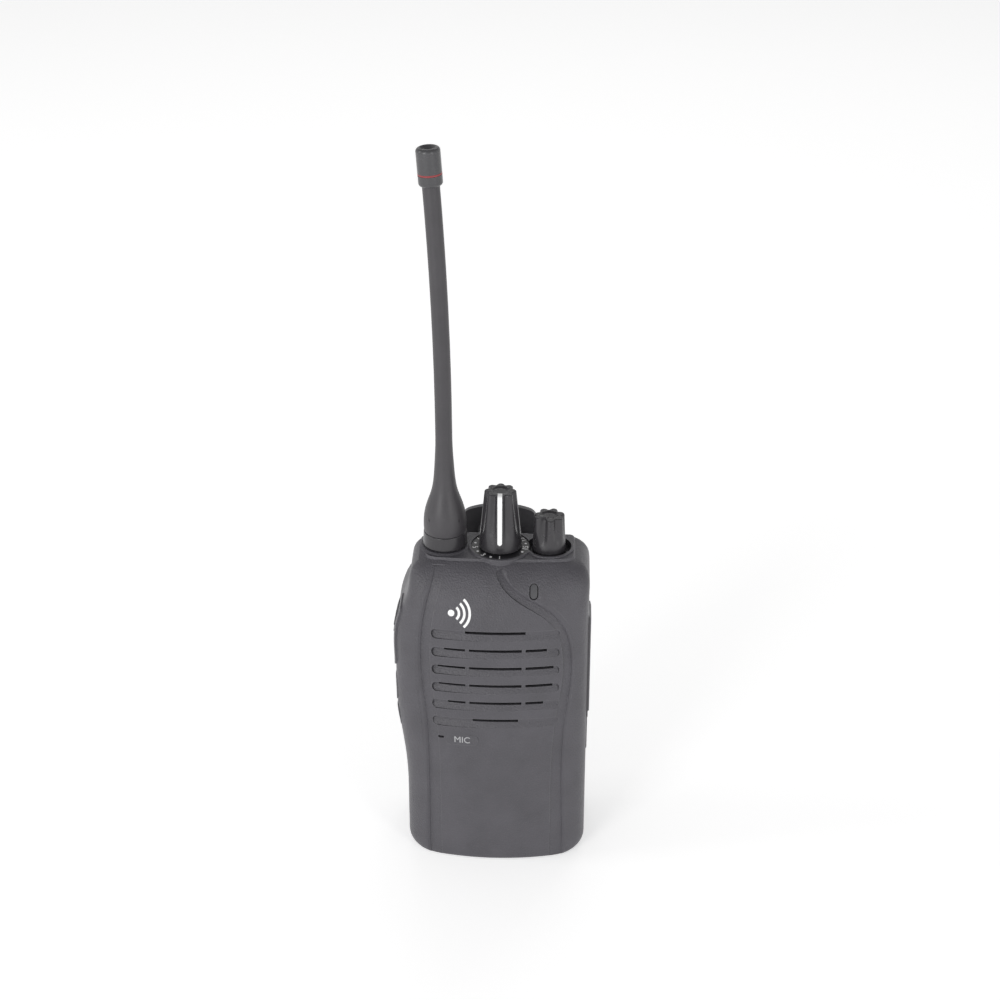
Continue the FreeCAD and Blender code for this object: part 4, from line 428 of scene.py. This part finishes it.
def join_meshes(name, meshes):
    bm = bmesh.new()
    for mesh in meshes:
        bm.from_mesh(mesh)
    bmesh.ops.recalc_face_normals(bm, faces=bm.faces)
    joined = bpy.data.meshes.new(name)
    bm.to_mesh(joined)
    bm.free()
    return joined


# %% Channel numbers
RING_STEP = math.radians(20)
CHANNELS = 16
FILM = 0.00005           # a drawn mark's thickness
TEXT_FILM = 0.00006      # a letter's thickness
OVER_RING = 0.00004      # lift of the ring's marks
OVER_CASE = 0.00003      # lift of the marks on the front
dial_low, dial_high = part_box("channel_dial")
dial_centre = (dial_low + dial_high) / 2
ring_top = dial_high.z
ring_radius = (dial_high.x - dial_low.x) / 2 - 0.0011


def thicken(bm, thickness):
    """Extrudes flat faces upwards into a film of ink."""
    grown = bmesh.ops.extrude_face_region(bm, geom=bm.faces[:])["geom"]
    raised = [v for v in grown if isinstance(v, bmesh.types.BMVert)]
    bmesh.ops.translate(bm, vec=(0, 0, thickness), verts=raised)


def dot_mesh(radius, thickness):
    bm = bmesh.new()
    bmesh.ops.create_circle(bm, cap_ends=True, segments=20, radius=radius)
    thicken(bm, thickness)
    mesh = bpy.data.meshes.new("dot")
    bm.to_mesh(mesh)
    bm.free()
    return mesh


def ring_place(position):
    """Where a channel's mark stands: the first at the front, the rest clockwise from above."""
    angle = -math.pi / 2 - RING_STEP * position
    out = Vector((math.cos(angle), math.sin(angle), 0))
    spot = Vector((dial_centre.x, dial_centre.y, ring_top + OVER_RING)) + out * ring_radius
    return Matrix.Translation(spot) @ Matrix.Rotation(angle + math.pi / 2, 4, "Z")


ring_marks = []
for position in range(CHANNELS):
    odd = position % 2 == 0
    mark = text_mesh(str(position + 1), 0.0026, TEXT_FILM) if odd else dot_mesh(0.00042, FILM)
    mark.transform(ring_place(position))
    ring_marks.append(mark)
link("channel_marks", join_meshes("channel_marks", ring_marks), "case", "white_print")
print("channel marks", len(ring_marks), "at radius", round(ring_radius, 5))

# %% [markdown]
# ## Print on the front
# The tab beside the grille is marked for the microphone, and a plain signal mark, a dot with three arcs, stands on
# the upper left. The front is curved, so each mark is drawn flat and then every point is dropped on the case by a ray
# along the view from the front. That way the ink follows the plastic wherever the mark is put.
# %% Drop flat marks on the case
case = frame["nodes"]["front_case"]
case_tree = BVHTree.FromPolygons([case.matrix_world @ v.co for v in case.data.vertices],
                                 [p.vertices for p in case.data.polygons])


def drop_on_front(mesh, x, z):
    """Stands a flat mesh upright at (x, z) and lays it on the front. Its own height becomes height over the case."""
    for vertex in mesh.vertices:
        across, up, over = vertex.co
        hit = case_tree.ray_cast(Vector((x + across, -0.1, z + up)), Vector((0, 1, 0)))[0]
        vertex.co = Vector((x + across, hit.y - over - OVER_CASE, z + up))
    return mesh


def arc_mesh(inner, outer, half_angle, thickness, steps=20):
    """A flat ring segment round the origin, spun from one short edge and thickened."""
    bm = bmesh.new()
    ends = [bm.verts.new((r * math.cos(-half_angle), r * math.sin(-half_angle), 0)) for r in (inner, outer)]
    edge = bm.edges.new(ends)
    bmesh.ops.spin(bm, geom=[*ends, edge], cent=(0, 0, 0), axis=(0, 0, 1), angle=2 * half_angle, steps=steps)
    thicken(bm, thickness)
    mesh = bpy.data.meshes.new("arc")
    bm.to_mesh(mesh)
    bm.free()
    return mesh


MARK_X, MARK_Z = -0.0139, 0.0948
ARC_WIDTH, ARC_HALF = 0.0008, math.radians(48)
mark_parts = [dot_mesh(0.00105, FILM)]
mark_parts += [arc_mesh(r, r + ARC_WIDTH, ARC_HALF, FILM) for r in (0.0021, 0.0038, 0.0055)]
mark = join_meshes("signal_mark", [drop_on_front(part, MARK_X, MARK_Z) for part in mark_parts])
link("signal_mark", mark, "case", "white_print")

TAB_X, TAB_Z = -0.0108, 0.0478
tab_text = drop_on_front(text_mesh("MIC", 0.0031, TEXT_FILM), TAB_X, TAB_Z)
link("mic_print", join_meshes("mic_print", [tab_text]), "case", "white_print", OUTER["grey_print"])
print("front marks", len(mark_parts) + 1)

# %% [markdown]
# ## Knobs
# Both knobs are moulded cones with soft flutes that run out into a plain skirt. A lathe makes the cone: its half
# section is spun once round, closely enough that the flutes can be pushed in afterwards by moving points towards the
# axis. The hollow for the nut and the hole for the shaft are in the same half section.
# %% Lathe
SHAFT_HOLE_R, HOLE_ROOF = 0.00202, 0.003
DISH, FOOT_EDGE, TOP_ROUND = 0.0005, 0.0002, 0.0006


def lathe(points, steps=160):
    """Spins a half section of (radius, height) once round the Z axis and closes it."""
    bm = bmesh.new()
    verts = [bm.verts.new((r, 0, z)) for r, z in points]
    edges = [bm.edges.new(pair) for pair in zip(verts, verts[1:])]
    bmesh.ops.spin(bm, geom=verts + edges, cent=(0, 0, 0), axis=(0, 0, 1), angle=2 * math.pi, steps=steps,
                   use_merge=True)
    bmesh.ops.remove_doubles(bm, verts=bm.verts, dist=1e-6)
    bmesh.ops.recalc_face_normals(bm, faces=bm.faces)
    return bm


def spaced(start, end, count):
    """Evenly spaced points after start, up to and including end."""
    return [tuple(a + (b - a) * k / count for a, b in zip(start, end)) for k in range(1, count + 1)]


def knob_section(base_r, top_r, height, hollow_r, hollow_z, shaft_r, shaft_z, dish_r, dish):
    """Half section of a knob, from the end of its shaft hole round the outside to the middle of its top."""
    points = [(0, shaft_z), (shaft_r, shaft_z), (shaft_r, hollow_z), (hollow_r, hollow_z), (hollow_r, 0),
              (base_r - FOOT_EDGE, 0), (base_r, FOOT_EDGE)]
    points += spaced(points[-1], (top_r, height - TOP_ROUND), 24)
    points += [(top_r - TOP_ROUND * (1 - math.cos(a)), height - TOP_ROUND + TOP_ROUND * math.sin(a))
               for a in (math.radians(d) for d in (22, 45, 67, 90))]
    points += spaced(points[-1], (dish_r, height), 4)
    points += spaced(points[-1], (dish_r - 0.0007, height - dish), 3)
    return points + spaced(points[-1], (0, height - dish), 4)


def ease(t):
    t = min(1.0, max(0.0, t))
    return t * t * (3 - 2 * t)


def angle_from(angle, middle):
    """How far an angle is from another, from 0 to pi."""
    return abs((angle - middle + math.pi) % (2 * math.pi) - math.pi)


def flute(bm, height, inner_r, count, phase, low, high, skirt):
    """Pushes upright flutes in. They are low deep over the skirt and high deep at the top."""
    for vert in bm.verts:
        radius = math.hypot(vert.co.x, vert.co.y)
        if radius <= inner_r or vert.co.z < skirt:
            continue
        angle = math.atan2(vert.co.y, vert.co.x)
        rise = ease((vert.co.z - skirt) / (height * 0.3))
        depth = (low + (high - low) * (vert.co.z - skirt) / (height - skirt)) * rise
        wave = (0.5 - 0.5 * math.cos(count * (angle - phase))) ** 1.4
        share = ease((radius - inner_r) / 0.001)
        scale = 1 - depth * wave * share / radius
        vert.co.x *= scale
        vert.co.y *= scale


# %% Channel knob
FRONT = -math.pi / 2
CHANNEL_X = CHANNEL_Y = 0.001


def rib(bm, height, inner_r, middle, half, out, up, fade_low, fade_high):
    """Raises an upright rib at one angle, standing out and, on the top, up."""
    for vert in bm.verts:
        radius = math.hypot(vert.co.x, vert.co.y)
        if radius <= inner_r:
            continue
        off = angle_from(math.atan2(vert.co.y, vert.co.x), middle) * radius
        share = ease((half - off) / (half * 0.45)) * ease((vert.co.z - fade_low) / (fade_high - fade_low))
        scale = 1 + out * share * ease((radius - inner_r) / 0.0012) / radius
        vert.co.x *= scale
        vert.co.y *= scale
        if vert.co.z > height - 0.0011:
            vert.co.z += up * share * ease((radius - inner_r) / 0.0012)


def finish_bmesh(name, bm):
    mesh = bpy.data.meshes.new(name)
    for face in bm.faces:
        face.smooth = True
    bm.to_mesh(mesh)
    bm.free()
    mesh.set_sharp_from_angle(angle=math.radians(50))
    return mesh


channel_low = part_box("channel_knob")[0].z
channel_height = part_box("channel_knob")[1].z - channel_low - 0.0003
channel_axis = Matrix.Translation((CHANNEL_X, CHANNEL_Y, channel_low))
channel = lathe(knob_section(base_r=0.0069, top_r=0.00505, height=channel_height, hollow_r=0.0052, hollow_z=0.0022,
                             shaft_r=SHAFT_HOLE_R, shaft_z=channel_height - HOLE_ROOF, dish_r=0.0028, dish=DISH))
flute(channel, channel_height, inner_r=0.0030, count=8, phase=FRONT, low=0.0003, high=0.0010, skirt=0.0020)
rib(channel, channel_height, inner_r=0.0018, middle=FRONT, half=0.0017, out=0.0003, up=0.0003,
    fade_low=0.0012, fade_high=0.003)
channel_mesh = finish_bmesh("channel_knob_fluted", channel)
channel_mesh.transform(channel_axis)
knob_piece = link("channel_knob_fluted", channel_mesh, "channel_control", "knob_plastic")
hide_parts("channel_knob")
print("channel knob", len(channel_mesh.polygons), "faces, height", round(channel_height, 5))

# %% [markdown]
# The pointer is white filler in a shallow groove: a strip with round ends that climbs the front of the knob and bends
# over its top edge. It is a flat grid first. Each point is then laid along the knob's own front line, found by rays,
# so the strip stays a few hundredths of a millimetre proud of it.
# %% Pointer
POINTER_LOW, POINTER_EDGE = 0.0033, 0.0003
knob_tree = BVHTree.FromPolygons([v.co for v in channel_mesh.vertices], [p.vertices for p in channel_mesh.polygons])


def pointer_path(count=40):
    """Points up the front of the knob and over the edge, with their directions outwards."""
    path = []
    for k in range(count):
        z = channel_low + POINTER_LOW + (channel_height - POINTER_LOW - POINTER_EDGE) * k / (count - 1)
        hit, normal, _, _ = knob_tree.ray_cast(Vector((CHANNEL_X, -0.05, z)), Vector((0, 1, 0)))
        path.append((hit, normal))
    for k in range(12):
        y = path[count - 1][0].y + 0.0002 + 0.0027 * k / 11
        hit, normal, _, _ = knob_tree.ray_cast(Vector((CHANNEL_X, y, channel_low + 0.05)), Vector((0, 0, -1)))
        path.append((hit, normal))
    return path


def pointer_mesh(half_width=0.00072, over=0.00006):
    path = pointer_path()
    rows = len(path)
    lengths = [0.0]
    for (a, _), (b, _) in zip(path, path[1:]):
        lengths.append(lengths[-1] + (b - a).length)
    bm = bmesh.new()
    bmesh.ops.create_grid(bm, x_segments=8, y_segments=rows - 1, size=1.0)
    for vert in bm.verts:
        row = round((vert.co.y + 1) / 2 * (rows - 1))
        spot, outwards = path[row]
        near_end = min(lengths[row], lengths[-1] - lengths[row])
        round_off = math.sqrt(max(0.02, 1 - max(0.0, 1 - near_end / half_width) ** 2))
        across = vert.co.x * half_width * round_off
        vert.co = Vector((spot.x + across, spot.y, spot.z)) + outwards * over
    bmesh.ops.solidify(bm, geom=bm.faces[:], thickness=0.0001)
    bmesh.ops.recalc_face_normals(bm, faces=bm.faces)
    return finish_bmesh("pointer", bm)


pointer_piece = link("pointer_line", pointer_mesh(), "channel_control", "white_print")
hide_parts("pointer_inlay")
print("pointer", len(pointer_piece.data.polygons), "faces")

# %% [markdown]
# The volume knob is the same kind of cone, shorter and steeper, with seven flutes and one taller rib. That rib is the
# tab a thumb finds without looking. It is raised with the same function, at the angle where the tab stands at rest.
# %% Volume knob
volume_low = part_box("volume_knob")[0].z
volume_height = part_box("volume_knob")[1].z - volume_low - 0.0007
TAB_ANGLE = math.radians(-90 - 47)
VOLUME_X, VOLUME_Y = 0.0165, 0.001
volume = lathe(knob_section(base_r=0.00535, top_r=0.0049, height=volume_height, hollow_r=0.0052, hollow_z=0.0021,
                            shaft_r=SHAFT_HOLE_R, shaft_z=volume_height - HOLE_ROOF, dish_r=0.0027, dish=DISH))
flute(volume, volume_height, inner_r=0.0026, count=7, phase=TAB_ANGLE, low=0.0004, high=0.0012, skirt=0.0026)
rib(volume, volume_height, inner_r=0.0008, middle=TAB_ANGLE, half=0.0013, out=0.0009, up=0.0009,
    fade_low=0.004, fade_high=0.0095)
volume_mesh = finish_bmesh("volume_knob_fluted", volume)
volume_mesh.transform(Matrix.Translation((VOLUME_X, VOLUME_Y, volume_low)))
volume_piece = link("volume_knob_fluted", volume_mesh, "volume_control", "knob_plastic")
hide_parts("volume_knob")
print("volume knob", len(volume_mesh.polygons), "faces, height", round(volume_height, 5))
